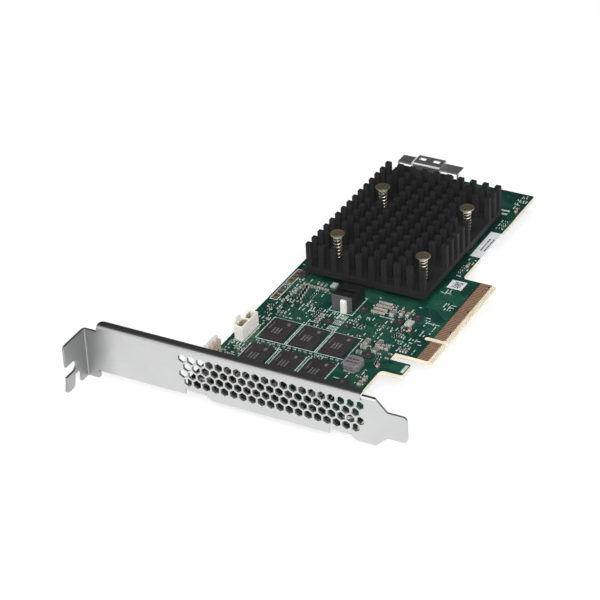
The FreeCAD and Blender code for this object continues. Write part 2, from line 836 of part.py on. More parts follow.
def crystal_can():
    """Small metal-lidded crystals."""
    places = [(74.2, 51.2, 2.5, 2.0, 0.8), (63.1, 16.9, 3.2, 2.5, 0.8)]
    return Part.makeCompound([chip(*place, 0.08) for place in places])


# ---------------------------------------------------------------- headers and sockets
def header_pin_places():
    """Pins of the upright header."""
    x, y = header_place
    first = x - (header_pins - 1) * header_pin_pitch / 2
    return [(first + n * header_pin_pitch, y) for n in range(header_pins)]


def side_pin_places():
    """Soldered legs of the side header's pins."""
    first = side_header_x - (side_header_pins - 1) * side_header_pitch / 2
    y = board_width - side_leg_inset
    return [(first + n * side_header_pitch, y) for n in range(side_header_pins)]


def wire_header_housing():
    """White shroud with an open top, a middle rib and a raised latch at one end."""
    x, y = header_place
    x0, y1 = x - header_length / 2, y + header_width / 2
    body = block(x, y, header_length, header_width, 0, header_height)
    latch = box(x0, x0 + header_latch_length, y1 - header_wall, y1, header_height, header_latch_height)
    top = edges_at(latch, lambda p: near(p.z, header_latch_height)
                   and (near(p.x, x0) or near(p.x, x0 + header_latch_length)))
    body = body.fuse(latch.makeFillet(header_latch_curve, top)).removeSplitter()
    half = (header_length - 2 * header_wall - header_rib) / 2
    cutters = []
    for side in (-1, 1):
        centre = x + side * (half + header_rib) / 2
        cutters.append(block(centre, y, half, header_width - 2 * header_wall,
                             header_floor, header_height + 1))
    cutters.append(block(x + header_rib, y1, header_notch_length, 3 * header_wall,
                         header_height - header_notch_depth, header_height + 1))
    cutters.append(Part.makeCylinder(header_latch_hole, 3 * header_wall,
                                     V(x0 + header_latch_length / 2, y1 - 2 * header_wall,
                                       header_height + header_latch_hole), V(0, 1, 0)))
    for px, py in header_pin_places():
        cutters.append(block(px, py, header_pin_side, header_pin_side, -1, header_floor + 1))
    return body.cut(Part.makeCompound(cutters))


def wire_header_pins():
    """Square pins of the upright header."""
    low = board_bottom - pin_tail
    top = header_height - header_pin_below
    return Part.makeCompound([block(x, y, header_pin_side, header_pin_side, low, top)
                              for x, y in header_pin_places()])


def side_header_housing():
    """White side-entry shroud at the board's edge, with a sloped mouth."""
    x = side_header_x
    y0 = board_width - side_header_overlap
    y1 = y0 + side_header_depth
    half = side_header_length / 2
    body = box(x - half, x + half, y0, y1, 0, side_header_height)
    body = body.makeChamfer(side_header_slope, edges_at(body, lambda p: near(p.z, side_header_height)
                                                        and near(p.y, y1)))
    cavity = box(x - half + side_header_wall, x + half - side_header_wall, y0 + side_header_back, y1 + 1,
                 side_header_wall, side_header_height - side_header_wall)
    cutters = [cavity]
    pin = side_pin_side / 2
    for px, _ in side_pin_places():
        cutters.append(box(px - pin, px + pin, y0 - 1, y0 + 2, side_pin_height - pin,
                           side_pin_height + pin))
    return body.cut(Part.makeCompound(cutters))


def side_header_pins_group():
    """Right-angle pins: out of the shroud's back and down through the board."""
    half = side_pin_side / 2
    y1 = board_width - side_header_overlap + side_header_depth - side_pin_below
    pins = []
    for x, y in side_pin_places():
        run = box(x - half, x + half, y - half, y1, side_pin_height - half, side_pin_height + half)
        leg = box(x - half, x + half, y - half, y + half, board_bottom - pin_tail,
                  side_pin_height + half)
        bar = fuse_all([run, leg])
        elbow = edges_at(bar, lambda p: near(p.y, y - half) and near(p.z, side_pin_height + half))
        pins.append(bar.makeFillet(side_pin_side / 2, elbow))
    return Part.makeCompound(pins)


def socket_x0():
    """Front of the module socket's housing, behind its plate."""
    return socket_place[0] - socket_length / 2


def module_socket_housing():
    """Black block with a contact slot along its top and a chamfered rear."""
    y = socket_place[1]
    x0 = socket_x0()
    body = box(x0, x0 + socket_length, y - socket_width / 2, y + socket_width / 2, 0, socket_height)
    rear = edges_at(body, lambda p: near(p.x, x0 + socket_length) and near(p.z, socket_height))
    body = body.makeChamfer(socket_chamfer, rear)
    slot_x = x0 + socket_slot_x
    reach = socket_width / 2 - socket_slot_wall
    slot = box(slot_x, slot_x + socket_slot_width, y - reach, y + reach,
               socket_slot_floor, socket_height + 1)
    return body.cut(slot)


def module_socket_plate():
    """Grey latch plate across the socket's front."""
    y = socket_place[1]
    x1 = socket_x0()
    top = socket_height + socket_plate_rise
    plate = box(x1 - socket_plate, x1, y - socket_width / 2, y + socket_width / 2, 0, top)
    lip = edges_at(plate, lambda p: near(p.z, top))
    return plate.makeFillet(0.15, lip)


def module_socket_key():
    """White guide post in front of the latch plate."""
    y = socket_place[1] + socket_key_offset
    x1 = socket_x0() - socket_plate
    x0 = x1 - socket_key_depth
    post = box(x0, x1, y - socket_key_width / 2, y + socket_key_width / 2, 0, socket_key_height)
    front = edges_at(post, lambda p: near(p.z, socket_key_height) and near(p.x, x0))
    return post.makeFillet(socket_key_depth / 2, front)


def module_socket_contacts():
    """Flat contacts standing in the socket's slot."""
    size = socket_contact_size
    x = socket_x0() + socket_slot_x + size / 2
    span = socket_width - 2 * socket_slot_wall - 2 * size
    pitch = span / (socket_contacts - 1)
    first = socket_place[1] - span / 2
    top = socket_height - socket_contact_below
    return Part.makeCompound([block(x, first + n * pitch, size, size, socket_slot_floor, top)
                              for n in range(socket_contacts)])


def port_housing():
    """Black body of the rear cable port with its contact slot."""
    x1 = port_front
    x0 = x1 - port_housing_length
    half = port_housing_width / 2
    body = box(x0, x1, port_centre_y - half, port_centre_y + half, 0, port_housing_height)
    mid = port_housing_height / 2
    slot_half = half - port_slot_wall
    slot_room = port_slot_height / 2 + port_slot_room
    slot = box(x1 - port_slot_depth, x1 + 1, port_centre_y - slot_half, port_centre_y + slot_half,
               mid - slot_room, mid + slot_room)
    tongue_half = half - port_tongue_inset
    tongue = box(x1 - port_slot_depth - port_slot_room, x1 - port_tongue_below,
                 port_centre_y - tongue_half, port_centre_y + tongue_half,
                 mid - port_tongue / 2, mid + port_tongue / 2)
    return body.cut(slot).fuse(tongue).removeSplitter()


def port_contacts_group():
    """Contacts on both faces of the port's tongue."""
    x1 = port_front
    mid = port_housing_height / 2
    first = port_centre_y - (port_contacts - 1) * port_contact_pitch / 2
    half = port_contact_width / 2
    thick = port_contact_thickness
    contacts = []
    for n in range(port_contacts):
        y = first + n * port_contact_pitch
        for z in (mid + port_tongue / 2, mid - port_tongue / 2 - thick):
            contacts.append(box(x1 - port_slot_depth, x1 - port_contact_start,
                                y - half, y + half, z, z + thick))
    return Part.makeCompound(contacts)


def port_hood():
    """Folded metal hood: raised crown with two latch windows, side wings and front legs."""
    t = hood_sheet
    wing_x0 = port_front + hood_wing_front
    wing_x1 = wing_x0 + hood_wing_length
    crown_x0 = port_front - hood_crown_front
    crown_x1 = crown_x0 + hood_crown_length
    half, crown = hood_width / 2, hood_crown_width / 2
    pieces = [box(crown_x0, crown_x1, port_centre_y - crown, port_centre_y + crown,
                  hood_crown_top - t, hood_crown_top),
              box(crown_x0, crown_x0 + t, port_centre_y - crown, port_centre_y + crown,
                  port_housing_height, hood_crown_top)]
    for side in (-1, 1):
        ys = sorted((port_centre_y + side * crown, port_centre_y + side * (crown - t)))
        pieces.append(box(crown_x0, crown_x1, ys[0], ys[1], port_housing_height, hood_crown_top))
        ys = sorted((port_centre_y + side * (crown - t), port_centre_y + side * half))
        pieces.append(box(wing_x0, wing_x1, ys[0], ys[1], hood_wing_top - t, hood_wing_top))
        ys = sorted((port_centre_y + side * half, port_centre_y + side * (half - t)))
        pieces.append(box(wing_x0, wing_x0 + hood_leg, ys[0], ys[1], 0, hood_wing_top))
    body = fuse_all(pieces)
    windows = []
    for side in (-1, 1):
        windows.append(block(crown_x1 - hood_window_inset, port_centre_y + side * crown / 2, hood_window[0],
                             hood_window[1], hood_crown_top - 1, hood_crown_top + 1))
    return body.cut(Part.makeCompound(windows))


# ---------------------------------------------------------------- labels
def code_label():
    """Square label near the end of the contact edge."""
    return block(*code_label_place, *code_label_size, 0, label_thickness)


def edge_label():
    """Long label folded over the board's lower edge onto its underside."""
    t = label_thickness
    x0, x1 = edge_label_span
    y0 = rear_recess - t
    y1 = rear_recess + edge_label_width
    pieces = [box(x0, x1, y0, y1, 0, t), box(x0, x1, y0, rear_recess, board_bottom - t, t),
              box(x0, x1, y0, y1, board_bottom - t, board_bottom)]
    return fuse_all(pieces)


# ---------------------------------------------------------------- all nodes
def build_nodes():
    """Every piece of the card by node name."""
    nodes = {
        "circuit_board": circuit_board(),
        "edge_contacts": edge_contacts(),
        "mounting_bracket": mounting_bracket(),
        "bracket_screws": bracket_screws(),
        "heatsink": heatsink(),
        "thermal_pad": thermal_pad(),
        "controller_substrate": controller_substrate_plate(),
        "controller_lid": controller_lid(),
        "controller_solder_balls": controller_balls(),
        "power_inductor": power_inductor(),
        "inductor_terminals": inductor_terminals(),
        "capacitor_bodies": Part.makeCompound(chip_bodies(capacitor_places())),
        "capacitor_array": Part.makeCompound(chip_bodies(array_places())),
        "resistor_bodies": Part.makeCompound(chip_bodies(resistor_places())),
        "amber_chip_bodies": Part.makeCompound(chip_bodies(amber_places())),
        "underside_capacitors": Part.makeCompound(chip_bodies(underside_places(), under=True)),
        "chip_terminals": chip_terminals(),
        "small_chips": small_chips(),
        "crystals": crystal_can(),
        "wire_header_housing": wire_header_housing(),
        "wire_header_pins": wire_header_pins(),
        "side_header_housing": side_header_housing(),
        "side_header_pins": side_header_pins_group(),
        "module_socket_housing": module_socket_housing(),
        "module_socket_plate": module_socket_plate(),
        "module_socket_key": module_socket_key(),
        "module_socket_contacts": module_socket_contacts(),
        "port_housing": port_housing(),
        "port_contacts": port_contacts_group(),
        "port_hood": port_hood(),
        "code_label": code_label(),
        "edge_label": edge_label(),
    }
    for number, (x, y) in enumerate(memory_places(), 1):
        nodes[f"memory_chip_{number}"] = chip(x, y, memory_length, memory_width, memory_height)
    for number, (x, y) in enumerate(pin_places(), 1):
        nodes[f"spring_pin_{number}"] = spring_pin(x, y)
        nodes[f"pin_spring_{number}"] = pin_spring(x, y)
    return nodes


os.makedirs("parts", exist_ok=True)
for name, shape in build_nodes().items():
    shape.exportStep(f"parts/{name}.step")
    print(f"{name}: {len(shape.Solids)} solids, {shape.Volume:.1f} mm3, valid {shape.isValid()}")
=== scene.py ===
"""Looks of a raid controller card: its finishes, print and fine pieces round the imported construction.

Lengths are in millimetres in the card's own frame and become metres through MM where a mesh is made.
The origin is on the bracket's outer face at the contact edge, with the component side of the board at Z = 0.
"""

import json
import logging
import math
import random
from collections.abc import Iterable
from dataclasses import dataclass, field
from enum import Enum
from typing import Any

import bmesh
import bpy
from mathutils import Matrix, Vector

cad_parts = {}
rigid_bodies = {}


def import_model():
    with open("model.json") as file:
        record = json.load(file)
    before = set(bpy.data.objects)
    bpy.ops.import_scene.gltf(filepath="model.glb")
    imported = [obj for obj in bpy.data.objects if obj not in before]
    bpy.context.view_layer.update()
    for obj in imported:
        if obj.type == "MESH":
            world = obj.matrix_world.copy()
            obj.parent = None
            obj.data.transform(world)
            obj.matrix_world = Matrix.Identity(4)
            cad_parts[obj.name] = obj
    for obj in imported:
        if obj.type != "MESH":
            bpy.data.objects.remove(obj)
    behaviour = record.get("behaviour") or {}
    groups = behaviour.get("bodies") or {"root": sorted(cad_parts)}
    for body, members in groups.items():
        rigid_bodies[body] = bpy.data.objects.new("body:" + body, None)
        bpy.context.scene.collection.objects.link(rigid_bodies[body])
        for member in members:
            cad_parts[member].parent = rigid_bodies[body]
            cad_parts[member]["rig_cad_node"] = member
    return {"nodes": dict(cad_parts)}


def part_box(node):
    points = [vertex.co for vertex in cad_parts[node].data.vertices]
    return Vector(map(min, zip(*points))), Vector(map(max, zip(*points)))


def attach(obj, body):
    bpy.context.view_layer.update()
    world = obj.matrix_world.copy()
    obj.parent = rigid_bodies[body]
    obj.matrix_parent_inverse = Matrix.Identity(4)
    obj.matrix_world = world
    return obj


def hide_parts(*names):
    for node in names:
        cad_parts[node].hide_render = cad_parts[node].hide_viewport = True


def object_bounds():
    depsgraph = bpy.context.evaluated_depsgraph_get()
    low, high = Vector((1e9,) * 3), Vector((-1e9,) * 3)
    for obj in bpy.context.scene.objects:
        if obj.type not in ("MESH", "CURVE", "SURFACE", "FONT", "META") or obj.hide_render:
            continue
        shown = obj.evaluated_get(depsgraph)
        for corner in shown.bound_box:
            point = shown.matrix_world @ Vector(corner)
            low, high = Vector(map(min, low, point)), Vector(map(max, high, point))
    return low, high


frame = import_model()
CAD_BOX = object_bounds()

MM = 0.001
VENT_SHADE_X = (14.0, 18.0)
VENT_SHADE_Y = (16.0, 20.0)
BODY = "root"
SMOOTH_ANGLE = math.radians(20)
LOOK = "look_"
LOG = logging.getLogger("card")

Colour = tuple[float, float, float]
Place = tuple[float, float, float]

BLACK: Colour = (0.0, 0.0, 0.0)
WHITE: Colour = (1.0, 1.0, 1.0)


class Turn(Enum):
    """Which way a small part lies on the board."""

    ALONG = 0.0
    ACROSS = 90.0


class Face(Enum):
    """The two faces of the board."""

    COMPONENT = "component"
    SOLDER = "solder"


def tint(red: float, green: float, blue: float) -> Colour:
    """Linear colour of a display colour.

    Args:
        red: Red from 0 to 255.
        green: Green from 0 to 255.
        blue: Blue from 0 to 255.

    Returns:
        The three linear channels from 0 to 1.
    """
    def channel(value: float) -> float:
        """Linear value of one display channel."""
        share = value / 255
        return share / 12.92 if share <= 0.04045 else ((share + 0.055) / 1.055) ** 2.4

    return channel(red), channel(green), channel(blue)


# ---------------------------------------------------------------- shader graph
class Signal:
    """Output of a shader node that takes part in arithmetic."""

    def __init__(self, graph: "Graph", socket: bpy.types.NodeSocket) -> None:
        """Keeps the graph and the socket."""
        self.graph = graph
        self.socket = socket

    def _math(self, operation: str, first: Any, second: Any) -> "Signal":
        """Math node of two values.

        Args:
            operation: The node's operation.
            first: Signal or number for the first socket.
            second: Signal or number for the second socket.

        Returns:
            The node's result.
        """
        made = self.graph.node("Math", {"operation": operation}, {0: first, 1: second})
        return Signal(self.graph, made.outputs[0])

    def __add__(self, other: Any) -> "Signal":
        """Sum."""
        return self._math("ADD", self, other)

    def __radd__(self, other: Any) -> "Signal":
        """Sum with the number first."""
        return self._math("ADD", other, self)

    def __sub__(self, other: Any) -> "Signal":
        """Difference."""
        return self._math("SUBTRACT", self, other)

    def __rsub__(self, other: Any) -> "Signal":
        """Difference with the number first."""
        return self._math("SUBTRACT", other, self)

    def __mul__(self, other: Any) -> "Signal":
        """Product."""
        return self._math("MULTIPLY", self, other)

    def __rmul__(self, other: Any) -> "Signal":
        """Product with the number first."""
        return self._math("MULTIPLY", other, self)

    def __gt__(self, other: Any) -> "Signal":
        """One where this value is the greater."""
        return self._math("GREATER_THAN", self, other)

    def __lt__(self, other: Any) -> "Signal":
        """One where this value is the smaller."""
        return self._math("LESS_THAN", self, other)

    def distance_from(self, middle: float) -> "Signal":
        """Distance from a number."""
        return self._math("ABSOLUTE", self - middle, 0.0)


class Graph:
    """Node tree of one material: its shader, coordinates and the nodes that feed them."""

    def __init__(self, name: str) -> None:
        """Starts an empty material with one principled shader."""
        self.material = bpy.data.materials.new(name)
        self.material.use_nodes = True
        self.tree = self.material.node_tree
        self.tree.nodes.clear()
        self.shader = self.node("BsdfPrincipled")
        output = self.node("OutputMaterial")
        self.tree.links.new(self.shader.outputs[0], output.inputs[0])
        self.coordinates = Signal(self, self.node("TexCoord").outputs["Object"])
        self._axes: Any = None

    def node(self, kind: str, settings: dict[str, Any] | None = None,
             values: dict[Any, Any] | None = None) -> bpy.types.Node:
        """Any node of the tree.

        Args:
            kind: Node type without its common start.
            settings: Properties, set before the sockets.
            values: Number, colour or signal for each named or numbered input.

        Returns:
            The node.
        """
        made = self.tree.nodes.new("ShaderNode" + kind)
        for key, value in (settings or {}).items():
            setattr(made, key, value)
        for key, value in (values or {}).items():
            socket = made.inputs[key]
            if isinstance(value, Signal):
                self.tree.links.new(value.socket, socket)
            elif socket.type == "RGBA":
                socket.default_value = (*value, 1.0)
            else:
                socket.default_value = value
        return made

    def axis(self, name: str) -> Signal:
        """One object coordinate in metres."""
        if self._axes is None:
            self._axes = self.node("SeparateXYZ", None, {0: self.coordinates})
        return Signal(self, self._axes.outputs[name])

    def noise(self, size: float, detail: float = 2.0, stretch: Place = (1.0, 1.0, 1.0)) -> Signal:
        """Soft random value from 0 to 1.

        Args:
            size: Size of a typical patch in millimetres.
            detail: Octaves of finer noise.
            stretch: How many times longer a patch is along each axis.

        Returns:
            The noise.
        """
        scale = tuple(1.0 / share for share in stretch)
        mapped = self.node("Mapping", None, {"Vector": self.coordinates, "Scale": scale})
        made = self.node("TexNoise", None, {"Vector": Signal(self, mapped.outputs[0]),
                                            "Scale": 1.0 / (size * MM), "Detail": detail})
        return Signal(self, made.outputs[0])

    def cells(self, size: float) -> Signal:
        """Random value from 0 to 1 that is the same within each cell.

        Args:
            size: Width of a cell in millimetres.

        Returns:
            One channel of the cell's colour.
        """
        made = self.node("TexVoronoi", {"distance": "CHEBYCHEV"},
                         {"Vector": self.coordinates, "Scale": 1.0 / (size * MM), "Randomness": 0.8})
        parted = self.node("SeparateColor", None, {0: Signal(self, made.outputs["Color"])})
        return Signal(self, parted.outputs[0])

    def blend(self, share: Any, first: Any, second: Any) -> Signal:
        """Colour between two.

        Args:
            share: From 0, the first colour, to 1, the second.
            first: Colour or signal.
            second: Colour or signal.

        Returns:
            The mixed colour.
        """
        made = self.node("Mix", {"data_type": "RGBA"}, {0: share, 6: first, 7: second})
        return Signal(self, made.outputs[2])

    def soft_step(self, value: Signal, low: float, high: float) -> Signal:
        """Rises smoothly from 0 at the low value to 1 at the high one."""
        made = self.node("MapRange", {"interpolation_type": "SMOOTHSTEP"},
                         {0: value, 1: low, 2: high})
        return Signal(self, made.outputs[0])

    def feed(self, socket: str, value: Any) -> None:
        """Links a signal to a shader socket, or sets the socket's own value."""
        target = self.shader.inputs[socket]
        if isinstance(value, Signal):
            self.tree.links.new(value.socket, target)
        elif target.type == "RGBA":
            target.default_value = (*value, 1.0)
        else:
            target.default_value = value

    def relief(self, height: Signal, depth: float) -> None:
        """Bumps the surface.

        Args:
            height: Height from 0 to 1.
            depth: What 1 stands for in millimetres.
        """
        made = self.node("Bump", None, {"Distance": depth * MM, "Height": height})
        self.feed("Normal", Signal(self, made.outputs[0]))


# ---------------------------------------------------------------- finishes
@dataclass(frozen=True)
class Finish:
    """Surface with a drifting colour, a drifting gloss and a fine grain."""

    name: str
    colour: Colour
    shade: Colour
    roughness: float
    drift: float = 0.1
    metallic: float = 0.0
    patch: float = 6.0
    grain: float = 0.25
    depth: float = 0.006
    coat: float = 0.0
    specular: float = 0.5
    # Share of painted shade on what stands behind the bracket's vents.
    painted_vent_shade: float = 0.0
    # Emission that paints a faint glow on a part that is no lamp.
    painted_glow: Colour = BLACK

    def material(self) -> bpy.types.Material:
        """The finish's material, made the first time it is asked for, under a name the frame doesn't use."""
        name = LOOK + self.name
        found = bpy.data.materials.get(name)
        if found is not None:
            return found
        graph = Graph(name)
        graph.feed("Base Color", self.vent_shaded(graph, self.colour_of(graph)))
        graph.feed("Roughness", self.roughness_of(graph))
        graph.feed("Metallic", self.metal_of(graph))
        graph.feed("Coat Weight", self.coat)
        graph.feed("Specular IOR Level", self.specular)
        graph.feed("Emission Color", self.painted_glow)
        graph.feed("Emission Strength", 1.0)
        self.grain_of(graph)
        return graph.material

    def colour_of(self, graph: Graph) -> Signal:
        """Colour that drifts between the finish's two shades in soft patches."""
        share = graph.noise(self.patch, 3.0) * 0.6 + graph.noise(self.grain * 2, 2.0) * 0.4
        return graph.blend(graph.soft_step(share, 0.35, 0.65), self.colour, self.shade)

    def _about(self, share: Signal) -> Signal:
        """Roughness round the finish's own value, from a share of 0 to 1."""
        return share * (2 * self.drift) + (self.roughness - self.drift)

    def roughness_of(self, graph: Graph) -> Signal:
        """Roughness that drifts in soft patches."""
        return self._about(graph.noise(self.patch / 2, 3.0))

    def metal_of(self, graph: Graph) -> Signal | float:
        """The finish's own share of metal."""
        return self.metallic

    def vent_shaded(self, graph: Graph, colour: Signal) -> Signal:
        """Paints the bracket's shade on what stands close behind its vents.

        Args:
            graph: The material.
            colour: Colour away from the bracket.

        Returns:
            The colour, with painted shade near the bracket.
        """
        if not self.painted_vent_shade:
            return colour
        behind = 1.0 - graph.soft_step(graph.axis("X"), VENT_SHADE_X[0] * MM, VENT_SHADE_X[1] * MM)
        share = behind * graph.soft_step(graph.axis("Y"), VENT_SHADE_Y[0] * MM, VENT_SHADE_Y[1] * MM)
        return graph.blend(share * self.painted_vent_shade, colour, BLACK)

    def grain_of(self, graph: Graph) -> None:
        """Fine grain in the surface."""
        graph.relief(graph.noise(self.grain, 3.0), self.depth)


@dataclass(frozen=True)
class BrushedSheet(Finish):
    """Sheet metal with fine lines along its length and a faint rolled waviness."""

    line: float = 0.12
    run: float = 40.0
    line_depth: float = 0.2
    wave: float = 1.6

    def _lines(self, graph: Graph, width: float) -> Signal:
        """Lines of a given width along the sheet."""
        return graph.noise(width, 2.0, (1.0, self.run, 1.0))

    def colour_of(self, graph: Graph) -> Signal:
        """Lines of two close greys."""
        share = self._lines(graph, self.line) * 0.5 + graph.noise(self.patch, 3.0) * 0.5
        return graph.blend(graph.soft_step(share, 0.3, 0.7), self.colour, self.shade)

    def roughness_of(self, graph: Graph) -> Signal:
        """Gloss that changes from line to line."""
        return self._about(self._lines(graph, self.line * 2))

    def grain_of(self, graph: Graph) -> None:
        """Shallow lines over a slow wave."""
        lines = self._lines(graph, self.line) * self.line_depth
        graph.relief(lines + graph.noise(self.patch * self.wave, 1.0), self.depth)


@dataclass(frozen=True)
class BracketSheet(BrushedSheet):
    """Plated sheet with painted shade towards the fold of the screw tab."""

    # Painted shade towards the fold of the screw tab.
    fold_shade_from: float = 92.0
    fold_shade_to: float = 103.5
    painted_fold_shade: float = 0.37
    # Painted shade on the upper flange.
    top_from: float = 14.26
    top_to: float = 14.46
    painted_flange_shade: float = 0.76
    # Painted highlight along the bend below the flange.
    bend_from: float = 13.5
    bend_to: float = 14.0
    painted_bend_highlight: float = 0.6

    def colour_of(self, graph: Graph) -> Signal:
        """Brushed grey with painted shade towards the folded end and on the upper flange, and a painted
        highlight on the bend between.
        """
        drift = (graph.noise(7.0, 2.0) - 0.5) * (6.0 * MM)
        share = graph.soft_step(graph.axis("Y") + drift, self.fold_shade_from * MM, self.fold_shade_to * MM)
        # Painted shade towards the fold.
        with_painted_light = graph.blend(share * self.painted_fold_shade, super().colour_of(graph), BLACK)
        height = graph.axis("Z")
        bend = graph.soft_step(height, self.bend_from * MM, self.bend_to * MM)
        # Painted highlight on the bend.
        with_painted_light = graph.blend(bend * self.painted_bend_highlight, with_painted_light, WHITE)
        # Painted shade on the upper flange.
        upper = graph.soft_step(height, self.top_from * MM, self.top_to * MM)
        return graph.blend(upper * self.painted_flange_shade, with_painted_light, BLACK)


@dataclass(frozen=True)
class SolderMask(Finish):
    """Green mask over copper and glass weave, with the pale laminate bare at the board's edges, painted shade
    on its front edge near the bracket and on the bare board between the contacts.
    """

    laminate: Colour = tint(233, 225, 203)
    laminate_shade: Colour = tint(214, 202, 172)
    # Painted shade on the laminate's front edge behind the bracket.
    painted_front_shade: Colour = tint(34, 40, 34)
    copper_shade: Colour = tint(52, 104, 84)
    board_thickness: float = 1.57
    skin: float = 0.04
    front: float = 3.0
    plated_to: float = 5.45
    bevel_to: float = 1.65
    # Bare laminate between the contacts, darkened with painted shade.
    bare: Colour = tint(54, 38, 31)
    dry: float = 0.35
    pour_size: float = 7.0
    pour_from: float = 0.72
    pour_share: float = 0.35
    weave_share: float = 0.25
    fibre: float = 0.5

    def _weave(self, graph: Graph) -> Signal:
        """Sum of the two crossing sets of glass fibres."""
        return graph.noise(self.fibre, 1.0, (6.0, 1.0, 1.0)) + graph.noise(self.fibre, 1.0, (1.0, 6.0, 1.0))

    def _pour(self, graph: Graph) -> Signal:
        """One where copper lies under the mask."""
        return graph.cells(self.pour_size) > self.pour_from

    def _inside(self, graph: Graph) -> Signal:
        """One between the two faces of the board."""
        depth = graph.axis("Z").distance_from(-self.board_thickness / 2 * MM)
        return depth < (self.board_thickness / 2 - self.skin) * MM

    def colour_of(self, graph: Graph) -> Signal:
        """Mask on the two faces and laminate layers between them, with painted shade on the front edge and
        between the contacts.
        """
        drift = graph.soft_step(graph.noise(self.patch, 3.0), 0.35, 0.65)
        mask = graph.blend(drift, self.colour, self.shade)
        mask = graph.blend(self._pour(graph) * self.pour_share, mask, self.copper_shade)
        weave = graph.soft_step(self._weave(graph) * 0.5, 0.42, 0.62)
        mask = graph.blend(weave * self.weave_share, mask, self.shade)
        # Bare laminate between the contacts, darkened with painted shade.
        mask = graph.blend(graph.axis("Y") < self.plated_to * MM, mask, self.bare)
        mask = graph.blend(graph.axis("Y") < self.bevel_to * MM, mask, self.laminate)
        layer = graph.noise(0.18, 2.0, (30.0, 30.0, 1.0))
        edge = graph.blend(graph.soft_step(layer, 0.4, 0.6), self.laminate, self.laminate_shade)
        # Painted shade on the front edge, where the bracket shades it.
        edge = graph.blend(graph.axis("X") < self.front * MM, edge, self.painted_front_shade)
        return graph.blend(self._inside(graph), mask, edge)

    def roughness_of(self, graph: Graph) -> Signal:
        """Glossy mask and dry laminate."""
        return self._inside(graph) * self.dry + self._about(graph.noise(self.patch, 2.0))

    def grain_of(self, graph: Graph) -> None:
        """Weave and copper that show as faint relief."""
        graph.relief(self._weave(graph) * 0.25 + self._pour(graph) * 0.5, self.depth)


@dataclass(frozen=True)
class PlatedContact(Finish):
    """Gold plate with fine wiping marks across its length."""

    def colour_of(self, graph: Graph) -> Signal:
        """Gold that is duller where it has been wiped."""
        marks = graph.noise(0.06, 2.0, (1.0, 30.0, 1.0))
        return graph.blend(graph.soft_step(marks, 0.4, 0.65), self.colour, self.shade)


@dataclass(frozen=True)
class LayeredCeramic(Finish):
    """Ceramic body with a slightly darker middle band."""

    def colour_of(self, graph: Graph) -> Signal:
        """Fine layers over the drifting colour."""
        layers = graph.noise(0.12, 1.0, (20.0, 20.0, 1.0))
        base = super().colour_of(graph)
        return graph.blend(graph.soft_step(layers, 0.45, 0.6) * 0.4, base, self.shade)


@dataclass(frozen=True)
class PrintedPaper(Finish):
    """Coated label stock with faint fibres."""

    def colour_of(self, graph: Graph) -> Signal:
        """Paper white with fibres."""
        fibres = graph.noise(0.08, 3.0, (8.0, 1.0, 1.0))
        return graph.blend(graph.soft_step(fibres, 0.5, 0.75) * 0.5, self.colour, self.shade)


@dataclass(frozen=True)
class TurnedPin(Finish):
    """Turned metal: bronze top, rim painted bright as a highlight, and darker shaft, by height."""

    highlight_low: float = 13.4
    highlight_high: float = 14.9
    # Painted highlight on the rim and the cone under the head.
    rim: Colour = tint(250, 246, 228)
    shaft: Colour = tint(84, 80, 70)

    def colour_of(self, graph: Graph) -> Signal:
        """Top, rim and shaft colours with fine turning marks; the bright rim is a painted highlight."""
        height = graph.axis("Z")
        marks = graph.noise(0.08, 2.0, (12.0, 12.0, 1.0))
        # The bright rim colour is a painted highlight.
        rim = graph.blend(graph.soft_step(marks, 0.4, 0.65) * 0.4, self.rim, self.colour)
        low = graph.blend(height > self.highlight_low * MM, self.shaft, rim)
        return graph.blend(height > self.highlight_high * MM, low, super().colour_of(graph))


@dataclass(frozen=True)
class PocketNylon(Finish):
    """Moulding with olive brown painted shade inside its two pockets."""

    low: tuple[float, float] = (31.6, 63.8)
    high: tuple[float, float] = (41.3, 66.0)
    rim: float = 5.25
    # Olive brown painted shade inside the pockets, and how much of it is laid over the pale.
    inside: Colour = tint(150, 138, 100)
    pocket_shade_share: float = 0.85

    def colour_of(self, graph: Graph) -> Signal:
        """Pale outside, and olive brown painted shade in the pockets."""
        x, y, z = graph.axis("X"), graph.axis("Y"), graph.axis("Z")
        across = (x > self.low[0] * MM) * (x < self.high[0] * MM) * (y > self.low[1] * MM)
        share = across * (y < self.high[1] * MM) * (z < self.rim * MM) * self.pocket_shade_share
        return graph.blend(share, super().colour_of(graph), self.inside)


@dataclass(frozen=True)
class FoldedSheet(BrushedSheet):
    """Sheet with a painted highlight along the raised crown's folds."""

    fold_x: float = 150.6
    fold_top: float = 7.95
    side_y: float = 57.8
    side_z: float = 6.56
    # Painted highlight on the crown's edges: its colour, and how far it gives up metal.
    bright: Colour = WHITE
    unmetal: float = 0.85

    def _painted_highlight(self, graph: Graph) -> Signal:
        """One on the crown's front edge and on its far side edge."""
        front = (graph.axis("X") < self.fold_x * MM) * (graph.axis("Z") > self.fold_top * MM)
        side = (graph.axis("Y") > self.side_y * MM) * (graph.axis("Z") > self.side_z * MM)
        return graph.soft_step(front + side, 0.0, 1.0)

    def colour_of(self, graph: Graph) -> Signal:
        """Brushed grey with a painted highlight on the edges."""
        return graph.blend(self._painted_highlight(graph), super().colour_of(graph), self.bright)

    def metal_of(self, graph: Graph) -> Signal | float:
        """The painted highlight on the edges scatters light instead of mirroring it."""
        return self.metallic - self._painted_highlight(graph) * self.unmetal


